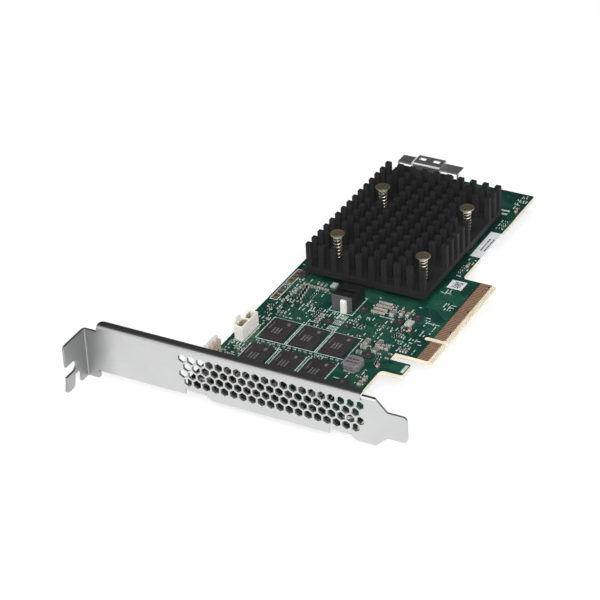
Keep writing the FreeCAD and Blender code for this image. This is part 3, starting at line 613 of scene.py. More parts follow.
# MASK, TAN, FINE_TAN, TIN and INK_WHITE darken behind the bracket's vents with painted shade.
MASK = SolderMask("solder_mask", tint(27, 76, 62), tint(20, 58, 50), 0.34, 0.06, patch=11.0, depth=0.01,
                  coat=0.15, painted_vent_shade=0.75)
TRACE = Finish("masked_copper", tint(44, 104, 82), tint(33, 86, 70), 0.36, 0.05, depth=0.003, coat=0.1)
STEEL = BracketSheet("bracket_steel", tint(204, 205, 204), tint(194, 195, 195), 0.38, 0.03, 0.9, patch=22.0,
                     depth=0.003)
SCREW = Finish("screw_plate", tint(196, 194, 186), tint(170, 168, 160), 0.28, 0.08, 1.0, depth=0.004)
GOLD = PlatedContact("gold_plate", tint(204, 164, 138), tint(174, 134, 110), 0.42, 0.08, 0.4, depth=0.002)
# The black anodised finish carries a faint painted glow that lifts its blacks.
ANODISED = Finish("black_anodised", tint(36, 36, 36), tint(28, 28, 28), 0.7, 0.07, grain=0.12, depth=0.008,
                  specular=0.2, painted_glow=(0.004, 0.004, 0.004))
PIN_METAL = TurnedPin("pin_plate", tint(122, 112, 92), tint(100, 90, 74), 0.36, 0.08, 0.5, depth=0.003)
SPRING = Finish("spring_wire", tint(255, 248, 226), tint(246, 234, 206), 0.3, 0.06, 0.95, depth=0.002)
RESIN = Finish("chip_resin", tint(57, 54, 55), tint(47, 45, 46), 0.55, 0.07, grain=0.1, depth=0.01)
PACKAGE = Finish("package_plate", tint(38, 92, 60), tint(28, 74, 50), 0.4, 0.06)
LID = Finish("lid_plate", tint(176, 174, 168), tint(150, 148, 142), 0.36, 0.08, 1.0, depth=0.005)
SOLDER = Finish("solder", tint(200, 200, 196), tint(164, 166, 164), 0.3, 0.1, 1.0, patch=0.6, grain=0.15,
                depth=0.012)
PAD_SOFT = Finish("thermal_pad", tint(112, 116, 124), tint(96, 100, 108), 0.85, 0.05, grain=0.4, depth=0.02)
FERRITE = Finish("ferrite", tint(134, 130, 133), tint(112, 108, 111), 0.62, 0.08, patch=1.2, grain=0.14,
                 depth=0.03)
TAN = LayeredCeramic("tan_ceramic", tint(164, 148, 142), tint(124, 110, 106), 0.5, 0.08, patch=1.5,
                     depth=0.008, painted_vent_shade=0.55)
FINE_TAN = LayeredCeramic("fine_tan_ceramic", tint(132, 120, 112), tint(98, 90, 84), 0.5, 0.08, patch=1.5,
                          depth=0.008, painted_vent_shade=0.55)
PALE = LayeredCeramic("pale_ceramic", tint(196, 182, 166), tint(152, 140, 126), 0.5, 0.08, patch=1.5,
                      depth=0.008)
BLACK_CHIP = Finish("resistor_glaze", tint(34, 35, 38), tint(22, 23, 25), 0.3, 0.08, patch=1.0, depth=0.006)
AMBER = Finish("amber_ceramic", tint(212, 114, 86), tint(184, 92, 68), 0.4, 0.06, patch=1.0, depth=0.006)
NYLON = PocketNylon("nylon", tint(250, 247, 238), tint(240, 236, 224), 0.42, 0.06, patch=2.5, grain=0.3,
                    depth=0.012)
CLEAR_NYLON = Finish("milky_nylon", tint(250, 248, 246), tint(236, 234, 230), 0.36, 0.06, patch=2.5)
PIN_BEIGE = PlatedContact("flashed_pin", tint(222, 202, 174), tint(196, 174, 146), 0.4, 0.08, 0.2,
                          depth=0.002)
TIN = Finish("tin_plate", tint(226, 224, 220), tint(192, 190, 185), 0.42, 0.08, 0.35, patch=0.8, depth=0.004,
             painted_vent_shade=0.55)
SOCKET = Finish("socket_moulding", tint(31, 31, 32), tint(24, 24, 25), 0.45, 0.08, grain=0.2, depth=0.01)
LATCH = Finish("latch_moulding", tint(92, 92, 94), tint(78, 78, 80), 0.5, 0.07, grain=0.2, depth=0.01)
KEY = Finish("key_moulding", tint(240, 240, 236), tint(224, 224, 218), 0.4, 0.05)
HOOD = FoldedSheet("hood_steel", tint(206, 206, 205), tint(188, 188, 187), 0.4, 0.05, 0.9, patch=6.0,
                   depth=0.004)
PAPER = PrintedPaper("label_stock", tint(232, 233, 234), tint(208, 210, 212), 0.5, 0.06, depth=0.004)
CRYSTAL = Finish("crystal_lid", tint(236, 236, 232), tint(212, 212, 208), 0.4, 0.06, 0.35, patch=0.8)
INK_WHITE = Finish("legend_ink", tint(226, 236, 231), tint(166, 192, 182), 0.6, 0.08, patch=1.4, grain=0.12,
                   depth=0.004, painted_vent_shade=0.6)
INK_GREY = Finish("marking_ink", tint(128, 126, 128), tint(100, 98, 100), 0.6, 0.08, patch=0.8, grain=0.1,
                  depth=0.003)
INK_DARK = Finish("print_ink", tint(52, 54, 58), tint(38, 40, 44), 0.6, 0.08, patch=0.8, grain=0.1,
                  depth=0.003)
COPPER = Finish("bare_copper", tint(168, 116, 98), tint(136, 92, 78), 0.45, 0.08, 0.3, patch=0.8, depth=0.004)


# ---------------------------------------------------------------- modelling steps
class Bench:
    """Modelling steps that the sub-assemblies share, one object at a time."""

    @staticmethod
    def take(piece: bpy.types.Object) -> None:
        """Selects one object and nothing else."""
        bpy.ops.object.select_all(action="DESELECT")
        piece.select_set(True)
        bpy.context.view_layer.objects.active = piece

    @staticmethod
    def settle(piece: bpy.types.Object) -> None:
        """Puts an object's place, turn and scale into its mesh."""
        Bench.take(piece)
        bpy.ops.object.transform_apply(location=True, rotation=True, scale=True)

    @staticmethod
    def edit(piece: bpy.types.Object, kind: str = "VERT") -> None:
        """Opens an object for editing with nothing selected.

        Args:
            piece: The object.
            kind: Selection mode, VERT, EDGE or FACE.
        """
        Bench.take(piece)
        bpy.ops.object.mode_set(mode="EDIT")
        bpy.ops.mesh.select_mode(type=kind)
        bpy.ops.mesh.select_all(action="DESELECT")

    @staticmethod
    def close() -> None:
        """Goes back to object mode."""
        bpy.ops.object.mode_set(mode="OBJECT")

    @staticmethod
    def select_faces(piece: bpy.types.Object, direction: Place) -> None:
        """Selects the faces that look one way while the object is open for editing.

        Args:
            piece: The object.
            direction: Unit vector.
        """
        mesh = bmesh.from_edit_mesh(piece.data)
        towards = Vector(direction)
        for face in mesh.faces:
            face.select_set(face.normal.dot(towards) > 0.9)
        bmesh.update_edit_mesh(piece.data)

    @staticmethod
    def block(name: str, low: Place, high: Place, edge: float = 0.0) -> bpy.types.Object:
        """Block between two corners with broken edges.

        Args:
            name: Object name.
            low: Lowest corner.
            high: Highest corner.
            edge: Width of the bevel.

        Returns:
            The object.
        """
        middle = [(a + b) / 2 * MM for a, b in zip(low, high)]
        size = [(b - a) * MM for a, b in zip(low, high)]
        bpy.ops.object.select_all(action="DESELECT")
        bpy.ops.mesh.primitive_cube_add(size=1.0, location=middle, scale=size)
        piece = bpy.context.active_object
        piece.name = name
        Bench.settle(piece)
        if edge:
            Bench.edit(piece)
            bpy.ops.mesh.select_all(action="SELECT")
            bpy.ops.mesh.bevel(offset=edge * MM, segments=1, affect="EDGES")
            Bench.close()
        return piece

    @staticmethod
    def bar(ink: float, edge: float = 0.003) -> bpy.types.Object:
        """Flat print bar one unit square, to be grown to each bar's own size.

        Args:
            ink: Height of the print.
            edge: Width of the bevel.

        Returns:
            The object.
        """
        return Bench.block("bar", (-0.5, -0.5, -0.01), (0.5, 0.5, ink), edge)

    @staticmethod
    def turned(name: str, profile: Iterable[tuple[float, float]], sides: int) -> bpy.types.Object:
        """Round piece about the Z axis, drawn up ring by ring.

        Args:
            name: Object name.
            profile: Radius and height of each ring, from the lowest up.
            sides: Number of sides.

        Returns:
            The object.
        """
        rings = list(profile)
        radius, height = rings[0]
        bpy.ops.object.select_all(action="DESELECT")
        bpy.ops.mesh.primitive_circle_add(vertices=sides, radius=radius * MM, fill_type="NGON",
                                          location=(0, 0, height * MM))
        piece = bpy.context.active_object
        piece.name = name
        Bench.settle(piece)
        Bench.edit(piece, "FACE")
        bpy.ops.mesh.select_all(action="SELECT")
        for next_radius, next_height in rings[1:]:
            rise = (0, 0, (next_height - height) * MM)
            bpy.ops.mesh.extrude_region_move(TRANSFORM_OT_translate={"value": rise})
            share = next_radius / radius
            bpy.ops.transform.resize(value=(share, share, 1.0), center_override=(0, 0, next_height * MM))
            radius, height = next_radius, next_height
        bpy.ops.mesh.select_all(action="SELECT")
        bpy.ops.mesh.normals_make_consistent(inside=False)
        Bench.close()
        return piece

    @staticmethod
    def outline(name: str, low: tuple[float, float], high: tuple[float, float], width: float,
                level: float, thickness: float) -> bpy.types.Object:
        """Flat rectangular frame.

        Args:
            name: Object name.
            low: Lowest outer corner in plan.
            high: Highest outer corner in plan.
            width: Width of the line.
            level: Height of its top.
            thickness: How far it reaches down.

        Returns:
            The object.
        """
        middle = ((low[0] + high[0]) / 2 * MM, (low[1] + high[1]) / 2 * MM, level * MM)
        bpy.ops.object.select_all(action="DESELECT")
        bpy.ops.mesh.primitive_plane_add(size=1.0, location=middle)
        piece = bpy.context.active_object
        piece.name = name
        piece.scale = ((high[0] - low[0]) * MM, (high[1] - low[1]) * MM, 1.0)
        Bench.settle(piece)
        Bench.edit(piece, "FACE")
        bpy.ops.mesh.select_all(action="SELECT")
        bpy.ops.mesh.inset(thickness=width * MM)
        bpy.ops.mesh.delete(type="FACE")
        Bench.close()
        Bench.thicken(piece, thickness)
        return piece

    @staticmethod
    def thicken(piece: bpy.types.Object, thickness: float) -> None:
        """Gives a flat mesh its thickness downwards."""
        Bench.take(piece)
        wall = piece.modifiers.new("wall", "SOLIDIFY")
        wall.thickness = thickness * MM
        wall.offset = -1.0
        bpy.ops.object.modifier_apply(modifier="wall")

    @staticmethod
    def strip(name: str, start: Place, runs: Iterable[tuple[float, float]], width: float,
              thickness: float) -> bpy.types.Object:
        """Flat strip that follows a few straight runs from a start.

        Args:
            name: Object name.
            start: Middle of the strip's first end, with the height of its top.
            runs: Step in X and Y of each run.
            width: Width across the first run.
            thickness: How far the strip reaches down.

        Returns:
            The object.
        """
        steps = list(runs)
        first = Vector((steps[0][0], steps[0][1], 0.0))
        side = Vector((-first.y, first.x, 0.0)).normalized() * width / 2
        middle = Vector(start) + first / 2
        bpy.ops.object.select_all(action="DESELECT")
        bpy.ops.mesh.primitive_plane_add(size=1.0, location=middle * MM)
        piece = bpy.context.active_object
        piece.name = name
        piece.scale = (first.length * MM, width * MM, 1.0)
        piece.rotation_euler = (0.0, 0.0, math.atan2(first.y, first.x))
        Bench.settle(piece)
        Bench.edit(piece, "VERT")
        mesh = bmesh.from_edit_mesh(piece.data)
        end = (Vector(start) + first) * MM
        near = (side.length * 1.2) * MM
        for vertex in mesh.verts:
            vertex.select_set((vertex.co - end).length < near)
        mesh.select_flush(True)
        bmesh.update_edit_mesh(piece.data)
        for step in steps[1:]:
            shift = (step[0] * MM, step[1] * MM, 0.0)
            bpy.ops.mesh.extrude_region_move(TRANSFORM_OT_translate={"value": shift})
        bpy.ops.mesh.select_all(action="SELECT")
        bpy.ops.mesh.normals_make_consistent(inside=False)
        Bench.close()
        if piece.data.polygons[0].normal.z < 0:
            piece.data.flip_normals()
        Bench.thicken(piece, thickness)
        return piece

    @staticmethod
    def repeated(piece: bpy.types.Object, count: int, step: Place) -> bpy.types.Object:
        """Row of equal copies joined to the piece."""
        Bench.take(piece)
        row = piece.modifiers.new("row", "ARRAY")
        row.count = count
        row.use_relative_offset = False
        row.use_constant_offset = True
        row.constant_offset_displace = Vector(step) * MM
        bpy.ops.object.modifier_apply(modifier="row")
        return piece

    @staticmethod
    def scattered(name: str, model: bpy.types.Object, places: Iterable[Matrix]) -> bpy.types.Object:
        """Copies of a model at many places as one object. The model goes.

        Args:
            name: Name of the new object.
            model: Object that is copied, modelled about the origin.
            places: Placement of each copy in millimetres.

        Returns:
            The object.
        """
        gathered = bmesh.new()
        for place in places:
            mesh = model.data.copy()
            moved = place.copy()
            moved.translation = place.translation * MM
            mesh.transform(moved)
            gathered.from_mesh(mesh)
            bpy.data.meshes.remove(mesh)
        result = bpy.data.meshes.new(name)
        gathered.to_mesh(result)
        gathered.free()
        piece = bpy.data.objects.new(name, result)
        bpy.context.scene.collection.objects.link(piece)
        bpy.data.objects.remove(model)
        return piece

    @staticmethod
    def joined(name: str, pieces: Iterable[bpy.types.Object]) -> bpy.types.Object:
        """Several objects joined into one.

        Args:
            name: Name of the joined object.
            pieces: The objects.

        Returns:
            The object.
        """
        parts = list(pieces)
        Bench.take(parts[0])
        for part in parts:
            part.select_set(True)
        bpy.ops.object.join()
        parts[0].name = name
        return parts[0]

    @staticmethod
    def softened(node: str, name: str, width: float, segments: int = 1) -> bpy.types.Object:
        """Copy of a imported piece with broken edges, which stands for it.

        Args:
            node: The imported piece.
            name: Name of the copy.
            width: Width of the broken edge.
            segments: Faces across it.

        Returns:
            The object.
        """
        source = frame["nodes"][node]
        piece = source.copy()
        piece.data = source.data.copy()
        piece.name = name
        del piece["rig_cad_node"]
        piece.parent = None
        bpy.context.scene.collection.objects.link(piece)
        Bench.edit(piece)
        bpy.ops.mesh.select_all(action="SELECT")
        bpy.ops.mesh.customdata_custom_splitnormals_clear()
        bpy.ops.mesh.remove_doubles(threshold=MM * 0.001)
        bpy.ops.mesh.dissolve_limited(angle_limit=math.radians(0.5))
        Bench.close()
        edge = piece.modifiers.new("edge", "BEVEL")
        edge.width = width * MM
        edge.segments = segments
        edge.limit_method = "ANGLE"
        edge.angle_limit = math.radians(40)
        bpy.ops.object.modifier_apply(modifier="edge")
        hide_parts(node)
        return piece

    @staticmethod
    def dress(piece: bpy.types.Object, finish: Finish, slot: str) -> bpy.types.Object:
        """Gives a new piece its finish, its smooth faces and its body.

        Args:
            piece: The object.
            finish: Its finish.
            slot: The record's material slot, which is not used.

        Returns:
            The object.
        """
        piece.data.materials.clear()
        piece.data.materials.append(finish.material())
        Bench.take(piece)
        bpy.ops.object.shade_smooth_by_angle(angle=SMOOTH_ANGLE)
        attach(piece, BODY)
        LOG.info("%s: %d faces", piece.name, len(piece.data.polygons))
        return piece


def placed(x: float, y: float, z: float, turn: float = 0.0, scale: Place = (1.0, 1.0, 1.0)) -> Matrix:
    """Placement of a copy.

    Args:
        x: Place along the card.
        y: Place across it.
        z: Height.
        turn: Turn about Z in degrees.
        scale: Growth along each of the copy's own axes.

    Returns:
        The matrix, with its place in millimetres.
    """
    grown = Matrix.Diagonal((*scale, 1.0))
    return Matrix.Translation((x, y, z)) @ Matrix.Rotation(math.radians(turn), 4, "Z") @ grown


def plan(points: Iterable[Vector]) -> tuple[float, float, float, float]:
    """Box of some points in plan.

    Args:
        points: The points.

    Returns:
        Least X, greatest X, least Y and greatest Y.
    """
    xs, ys = zip(*((point.x, point.y) for point in points))
    return min(xs), max(xs), min(ys), max(ys)


def hung(x: float, y: float, length: float = 1.0) -> Matrix:
    """Placement of a copy upside down on the board's solder side.

    Args:
        x: Place along the card.
        y: Place across it.
        length: Growth along the copy's own X axis.

    Returns:
        The matrix, with its place in millimetres.
    """
    lower = Matrix.Translation((x, y, -MASK.board_thickness)) @ Matrix.Rotation(math.pi, 4, "X")
    return lower @ Matrix.Diagonal((length, 1.0, 1.0, 1.0))


# ---------------------------------------------------------------- free board
@dataclass
class Footprints:
    """Ground that is taken on each face of the board, as boxes in plan."""

    bare: tuple[str, ...] = ("circuit_board", "edge_contacts", "mounting_bracket")
    face_split: float = -0.5
    taken: dict[Face, list[tuple[float, float, float, float]]] = field(default_factory=dict)

    def __post_init__(self) -> None:
        """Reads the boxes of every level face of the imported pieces."""
        self.taken = {Face.COMPONENT: [], Face.SOLDER: []}
        for name, node in frame["nodes"].items():
            if name in self.bare:
                continue
            for polygon in node.data.polygons:
                if abs(polygon.normal.z) < 0.9:
                    continue
                corners = [node.data.vertices[index].co / MM for index in polygon.vertices]
                face = Face.COMPONENT if corners[0].z > self.face_split else Face.SOLDER
                self.taken[face].append(plan(corners))

    def claim(self, x: float, y: float, half_x: float, half_y: float, face: Face = Face.COMPONENT,
              margin: float = 0.15) -> bool:
        """Takes a place if it is free.

        Args:
            x: Middle along the card.
            y: Middle across it.
            half_x: Half its length.
            half_y: Half its width.
            face: Face of the board.
            margin: Least distance from what is there.

        Returns:
            True if the place was free and is now taken.
        """
        low_x, high_x = x - half_x - margin, x + half_x + margin
        low_y, high_y = y - half_y - margin, y + half_y + margin
        for other in self.taken[face]:
            if low_x < other[1] and high_x > other[0] and low_y < other[3] and high_y > other[2]:
                return False
        self.taken[face].append((x - half_x, x + half_x, y - half_y, y + half_y))
        return True


@dataclass(frozen=True)
class Patch:
    """Rectangle of board that is filled with equal things in rows."""

    low: tuple[float, float]
    high: tuple[float, float]
    pitch: tuple[float, float]
    filled: float
    turn: Turn = Turn.ALONG

    def places(self, dice: random.Random) -> Iterable[tuple[float, float]]:
        """Places in the patch, row by row, some left out at random."""
        columns = int((self.high[0] - self.low[0]) / self.pitch[0]) + 1
        rows = int((self.high[1] - self.low[1]) / self.pitch[1]) + 1
        for row in range(rows):
            for column in range(columns):
                if dice.random() < self.filled:
                    yield self.low[0] + column * self.pitch[0], self.low[1] + row * self.pitch[1]


# ---------------------------------------------------------------- board
@dataclass
class FineParts:
    """The smallest chip parts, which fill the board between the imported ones."""

    ground: Footprints
    length: float = 1.0
    width: float = 0.52
    height: float = 0.42
    cap: float = 0.24
    edge: float = 0.05
    tan_share: float = 0.55
    seed: int = 11
    patches: tuple[Patch, ...] = (
        Patch((50.6, 57.4), (59.6, 66.6), (1.7, 1.25), 0.55),
        Patch((60.4, 52.6), (74.0, 64.2), (1.9, 1.5), 0.42),
        Patch((49.6, 45.8), (60.4, 53.0), (1.35, 1.75), 0.55, Turn.ACROSS),
        Patch((49.6, 29.2), (61.0, 37.0), (1.5, 1.7), 0.42, Turn.ACROSS),
        Patch((57.0, 17.0), (72.4, 27.0), (1.75, 1.2), 0.55),
        Patch((48.4, 14.6), (61.4, 18.6), (1.3, 1.6), 0.6, Turn.ACROSS),
        Patch((22.6, 61.6), (31.4, 67.6), (1.2, 1.7), 0.6, Turn.ACROSS),
        Patch((40.0, 14.6), (47.6, 27.0), (1.35, 1.7), 0.4, Turn.ACROSS),
        Patch((22.4, 14.6), (30.6, 19.6), (1.35, 1.6), 0.4, Turn.ACROSS),
        Patch((31.6, 27.6), (33.6, 60.0), (1.4, 1.35), 0.3),
        Patch((47.4, 8.4), (50.4, 13.6), (1.2, 1.0), 0.45),
        Patch((98.6, 14.6), (110.8, 16.0), (1.35, 1.6), 0.6, Turn.ACROSS),
        Patch((149.4, 15.0), (156.4, 17.2), (1.6, 1.6), 0.5, Turn.ACROSS),
        Patch((148.0, 22.0), (156.6, 38.6), (2.4, 3.1), 0.14),
        Patch((54.0, 64.6), (138.0, 67.6), (1.6, 1.5), 0.22, Turn.ACROSS),
        Patch((4.8, 15.0), (18.6, 67.0), (2.2, 1.7), 0.22),
    )
    under: tuple[Patch, ...] = (
        Patch((20.0, 16.0), (70.0, 66.0), (3.2, 2.4), 0.22),
        Patch((76.0, 20.0), (136.0, 64.0), (2.9, 2.6), 0.2, Turn.ACROSS),
    )

    def build(self) -> None:
        """Bodies and end caps of every part, in two kinds."""
        dice = random.Random(self.seed)
        kinds: dict[bool, list[Matrix]] = {True: [], False: []}
        for face, patches in ((Face.COMPONENT, self.patches), (Face.SOLDER, self.under)):
            level = 0.0 if face is Face.COMPONENT else -MASK.board_thickness - self.height
            for patch in patches:
                half_x, half_y = self.length / 2, self.width / 2
                if patch.turn is Turn.ACROSS:
                    half_x, half_y = half_y, half_x
                for x, y in patch.places(dice):
                    if self.ground.claim(x, y, half_x, half_y, face):
                        kinds[dice.random() < self.tan_share].append(placed(x, y, level, patch.turn.value))
        self._bodies("fine_capacitor_bodies", FINE_TAN, "capacitor_tan", kinds[True])
        self._bodies("fine_resistor_bodies", BLACK_CHIP, "resistor_black", kinds[False])
        self._caps(kinds[True] + kinds[False])

    def _bodies(self, name: str, finish: Finish, slot: str, places: list[Matrix]) -> None:
        """Middles of one kind of part."""
        reach = self.length / 2 - self.cap
        model = Bench.block("part", (-reach, -self.width / 2 + self.edge, 0.0),
                            (reach, self.width / 2 - self.edge, self.height - self.edge), self.edge / 2)
        Bench.dress(Bench.scattered(name, model, places), finish, slot)

    def _caps(self, places: list[Matrix]) -> None:
        """Tin ends with their solder feet."""
        reach = self.length / 2
        ends = []
        for side in (-1, 1):
            inner, outer = sorted((side * (reach - self.cap), side * reach))
            low, high = (inner, -self.width / 2, 0.0), (outer, self.width / 2, self.height)
            ends.append(Bench.block("cap", low, high, self.edge))
            foot_in, foot_out = sorted((side * (reach - self.cap), side * (reach + self.cap)))
            ends.append(Bench.block("foot", (foot_in, -self.width / 2 - self.edge, 0.0),
                                    (foot_out, self.width / 2 + self.edge, self.edge)))
        Bench.dress(Bench.scattered("fine_part_caps", Bench.joined("ends", ends), places), TIN, "solder")


@dataclass
class BoardArt:
    """Legend, copper, pads and vias on the board."""

    ground: Footprints
    ink: float = 0.02
    line: float = 0.34
    stroke: float = 0.38
    sunk: float = 0.01
    trace_width: float = 0.24
    trace_rise: float = 0.012
    seed: int = 23
    boxes: tuple[tuple[float, float, float, float], ...] = (
        (34.6, 48.6, 49.7, 60.9), (34.6, 48.6, 38.3, 49.3), (34.6, 48.6, 26.9, 37.9),
        (18.2, 31.3, 49.9, 60.6), (18.2, 31.3, 38.9, 49.2), (18.2, 31.3, 27.6, 38.2),
        (58.2, 68.7, 65.2, 68.2), (69.3, 79.2, 65.2, 68.2),
        (59.9, 71.9, 36.9, 46.2), (30.5, 42.4, 62.6, 67.2),
    )
    solid: tuple[tuple[float, float, float, float], ...] = (
        (35.7, 40.3, 5.9, 7.0), (142.3, 143.2, 16.5, 20.0), (144.6, 145.5, 16.5, 20.0),
    )
    legend: tuple[Patch, ...] = (
        Patch((50.0, 54.0), (60.0, 66.0), (2.3, 1.5), 0.4),
        Patch((60.0, 50.6), (74.6, 64.0), (2.4, 1.6), 0.34),
        Patch((49.4, 38.0), (60.0, 52.0), (1.9, 1.0), 0.55),
        Patch((49.0, 16.0), (61.0, 36.0), (2.4, 1.7), 0.3),
        Patch((61.0, 16.0), (74.4, 36.0), (2.6, 1.9), 0.32),
        Patch((22.0, 61.0), (31.0, 67.4), (1.8, 1.2), 0.5),
        Patch((43.0, 61.8), (50.0, 66.8), (1.9, 1.3), 0.55),
        Patch((31.7, 27.0), (34.2, 60.0), (1.5, 0.9), 0.5),
        Patch((22.4, 15.0), (34.0, 27.0), (2.0, 1.4), 0.3),
        Patch((47.2, 8.2), (56.0, 15.0), (1.9, 1.1), 0.35),
        Patch((58.6, 8.0), (67.0, 14.4), (1.9, 1.3), 0.5),
        Patch((67.4, 11.4), (70.4, 14.4), (1.6, 1.2), 0.5),
        Patch((97.8, 13.6), (111.0, 16.6), (2.3, 1.2), 0.4),
        Patch((130.0, 13.8), (157.6, 16.6), (2.6, 1.2), 0.3),
        Patch((150.4, 13.8), (157.4, 18.6), (1.7, 1.1), 0.6),
        Patch((5.0, 15.0), (18.0, 67.6), (3.0, 1.9), 0.3),
        Patch((80.0, 63.4), (157.0, 67.8), (2.6, 1.4), 0.25),
        Patch((76.4, 8.0), (80.6, 11.8), (1.6, 1.0), 0.75),
        Patch((86.0, 13.0), (90.0, 16.4), (1.7, 1.2), 0.6),
    )
    under_legend: tuple[Patch, ...] = (
        Patch((18.0, 16.0), (72.0, 66.0), (4.2, 3.1), 0.34),
        Patch((76.0, 20.0), (156.0, 66.0), (5.2, 3.6), 0.26),
    )
    via_patches: tuple[Patch, ...] = (
        Patch((19.0, 14.6), (74.4, 67.6), (1.25, 1.25), 0.16),
        Patch((76.0, 6.8), (95.4, 16.4), (1.1, 1.2), 0.2),
        Patch((97.0, 13.8), (157.4, 16.6), (1.4, 1.1), 0.16),
        Patch((47.0, 6.8), (75.6, 14.2), (1.2, 1.15), 0.14),
        Patch((139.8, 17.0), (157.4, 67.6), (1.5, 1.5), 0.12),
        Patch((4.6, 14.4), (18.8, 67.8), (1.6, 1.5), 0.12),
    )
    copper: tuple[tuple[Place, tuple[tuple[float, float], ...], int, Place], ...] = (
        ((61.6, 6.1, 0.0), ((0.0, 2.4), (3.2, 3.2), (0.0, 5.6)), 10, (0.5, 0.0, 0.0)),
        ((70.4, 6.1, 0.0), ((0.0, 1.4), (4.6, 4.6), (0.0, 4.4)), 12, (0.5, 0.0, 0.0)),
        ((79.6, 6.1, 0.0), ((0.0, 2.0), (5.2, 5.2), (0.0, 3.2)), 14, (0.5, 0.0, 0.0)),
        ((49.4, 16.2, 0.0), ((0.0, 4.0), (4.0, 4.0), (0.0, 6.4)), 6, (0.55, 0.0, 0.0)),
        ((49.0, 33.0, 0.0), ((3.4, 0.0), (2.4, 2.4), (3.4, 0.0)), 5, (0.0, 0.55, 0.0)),
        ((71.6, 46.6, 0.0), ((0.0, 4.0), (1.6, 1.6), (0.0, 8.0)), 6, (0.5, 0.0, 0.0)),
        ((48.8, 50.0, 0.0), ((4.6, 0.0), (3.0, 3.0), (0.0, 6.0)), 5, (0.0, 0.55, 0.0)),
        ((98.0, 13.9, 0.0), ((12.0, 0.0), (1.8, 1.8), (16.0, 0.0)), 4, (0.0, 0.5, 0.0)),
        ((131.0, 14.0, 0.0), ((8.0, 0.0), (3.0, 3.0), (0.0, 22.0)), 5, (0.55, -0.3, 0.0)),
        ((36.4, 8.0, 0.0), ((0.0, 5.0), (-2.4, 2.4), (-6.0, 0.0)), 4, (0.8, 0.0, 0.0)),
    )
    pad_row_x: tuple[float, ...] = (59.7, 62.2, 64.7, 67.2, 70.7, 73.1, 75.5, 77.9)
    pad_row_y: float = 66.7
    pad_reach: float = 1.2
    lengths: tuple[float, ...] = (0.8, 1.3, 1.8)
    under_lengths: tuple[float, ...] = (1.3, 1.8, 2.4)
    upright_share: float = 0.3
    legend_gap: float = 0.05
    legend_edge: float = 0.004
    via_radius: float = 0.26
    via_height: float = 0.04
    via_wall: float = 0.13
    via_hole: float = 0.025
    via_gap: float = 0.03
    hatch_runs: tuple[tuple[float, float], ...] = ((49.4, 2.4), (52.6, 3.0), (56.4, 2.6))
    hatch_rows: tuple[float, float, int] = (37.9, 0.55, 7)
    comb_pitch: float = 0.82
    combs: tuple[tuple[float, float, int], ...] = (
        (34.9, 49.5, 17), (34.9, 38.1, 17), (18.8, 49.55, 15), (18.8, 38.55, 15),
    )

    def build(self) -> None:
        """All that is printed, plated or etched on the board."""
        self._boxes()
        self._wide_pads()
        self._legend()
        self._vias()
        self._copper()
        self._hatch()

    def _boxes(self) -> None:
        """Legend boxes round the memory, the socket, the header and the pad rows."""
        frames = [Bench.outline("box", (x0, y0), (x1, y1), self.line, self.ink, self.ink + self.sunk)
                  for x0, x1, y0, y1 in self.boxes]
        Bench.dress(Bench.joined("legend_boxes", frames), INK_WHITE, "board_mask")

    def _wide_pads(self) -> None:
        """Bare copper pads in the two boxes at the board's far edge."""
        model = Bench.block("pad", (-0.75, -0.9, -self.sunk), (0.75, 0.9, 0.04), 0.015)
        places = [placed(x, self.pad_row_y, 0.0) for x in self.pad_row_x]
        for x in self.pad_row_x:
            self.ground.claim(x, self.pad_row_y, self.pad_reach, self.pad_reach)
        Bench.dress(Bench.scattered("edge_pads", model, places), COPPER, "gold_contact")

    def _legend(self) -> None:
        """Short bars where the board's reference marks would be."""
        dice = random.Random(self.seed)
        places = []
        for patch in self.legend:
            for x, y in patch.places(dice):
                length = dice.choice(self.lengths)
                upright = dice.random() < self.upright_share
                half_x, half_y = (self.stroke / 2, length / 2) if upright else (length / 2, self.stroke / 2)
                if self.ground.claim(x, y, half_x, half_y, margin=self.legend_gap):
                    places.append(placed(x, y, 0.0, 90.0 if upright else 0.0, (length, 1.0, 1.0)))
        for patch in self.under_legend:
            for x, y in patch.places(dice):
                length = dice.choice(self.under_lengths)
                if self.ground.claim(x, y, length / 2, self.stroke / 2, Face.SOLDER, self.legend_gap):
                    places.append(hung(x, y, length))
        for x0, x1, y0, y1 in self.solid:
            size = (x1 - x0, (y1 - y0) / self.stroke, 1.0)
            places.append(placed((x0 + x1) / 2, (y0 + y1) / 2, 0.0, 0.0, size))
        low, high = (-0.5, -self.stroke / 2, -self.sunk), (0.5, self.stroke / 2, self.ink)
        model = Bench.block("bar", low, high, self.legend_edge)
        Bench.dress(Bench.scattered("legend_bars", model, places), INK_WHITE, "board_mask")

    def _vias(self) -> None:
        """Plated holes with a raised rim, on both faces."""
        dice = random.Random(self.seed + 1)
        places = []
        for patch in self.via_patches:
            for x, y in patch.places(dice):
                if self.ground.claim(x, y, self.via_radius, self.via_radius, margin=self.via_gap):
                    places.append(placed(x, y, 0.0))
                if self.ground.claim(x, y, self.via_radius, self.via_radius, Face.SOLDER, self.via_gap):
                    places.append(hung(x, y))
        bpy.ops.object.select_all(action="DESELECT")
        bpy.ops.mesh.primitive_cylinder_add(vertices=10, radius=self.via_radius * MM,
                                            depth=self.via_height * MM, location=(0, 0, self.sunk * MM))
        model = bpy.context.active_object
        Bench.settle(model)
        Bench.edit(model, "FACE")
        Bench.select_faces(model, (0, 0, 1))
        bpy.ops.mesh.inset(thickness=self.via_wall * MM)
        bpy.ops.mesh.extrude_region_move(TRANSFORM_OT_translate={"value": (0, 0, -self.via_hole * MM)})
        Bench.close()
        Bench.dress(Bench.scattered("vias", model, places), SOLDER, "solder")

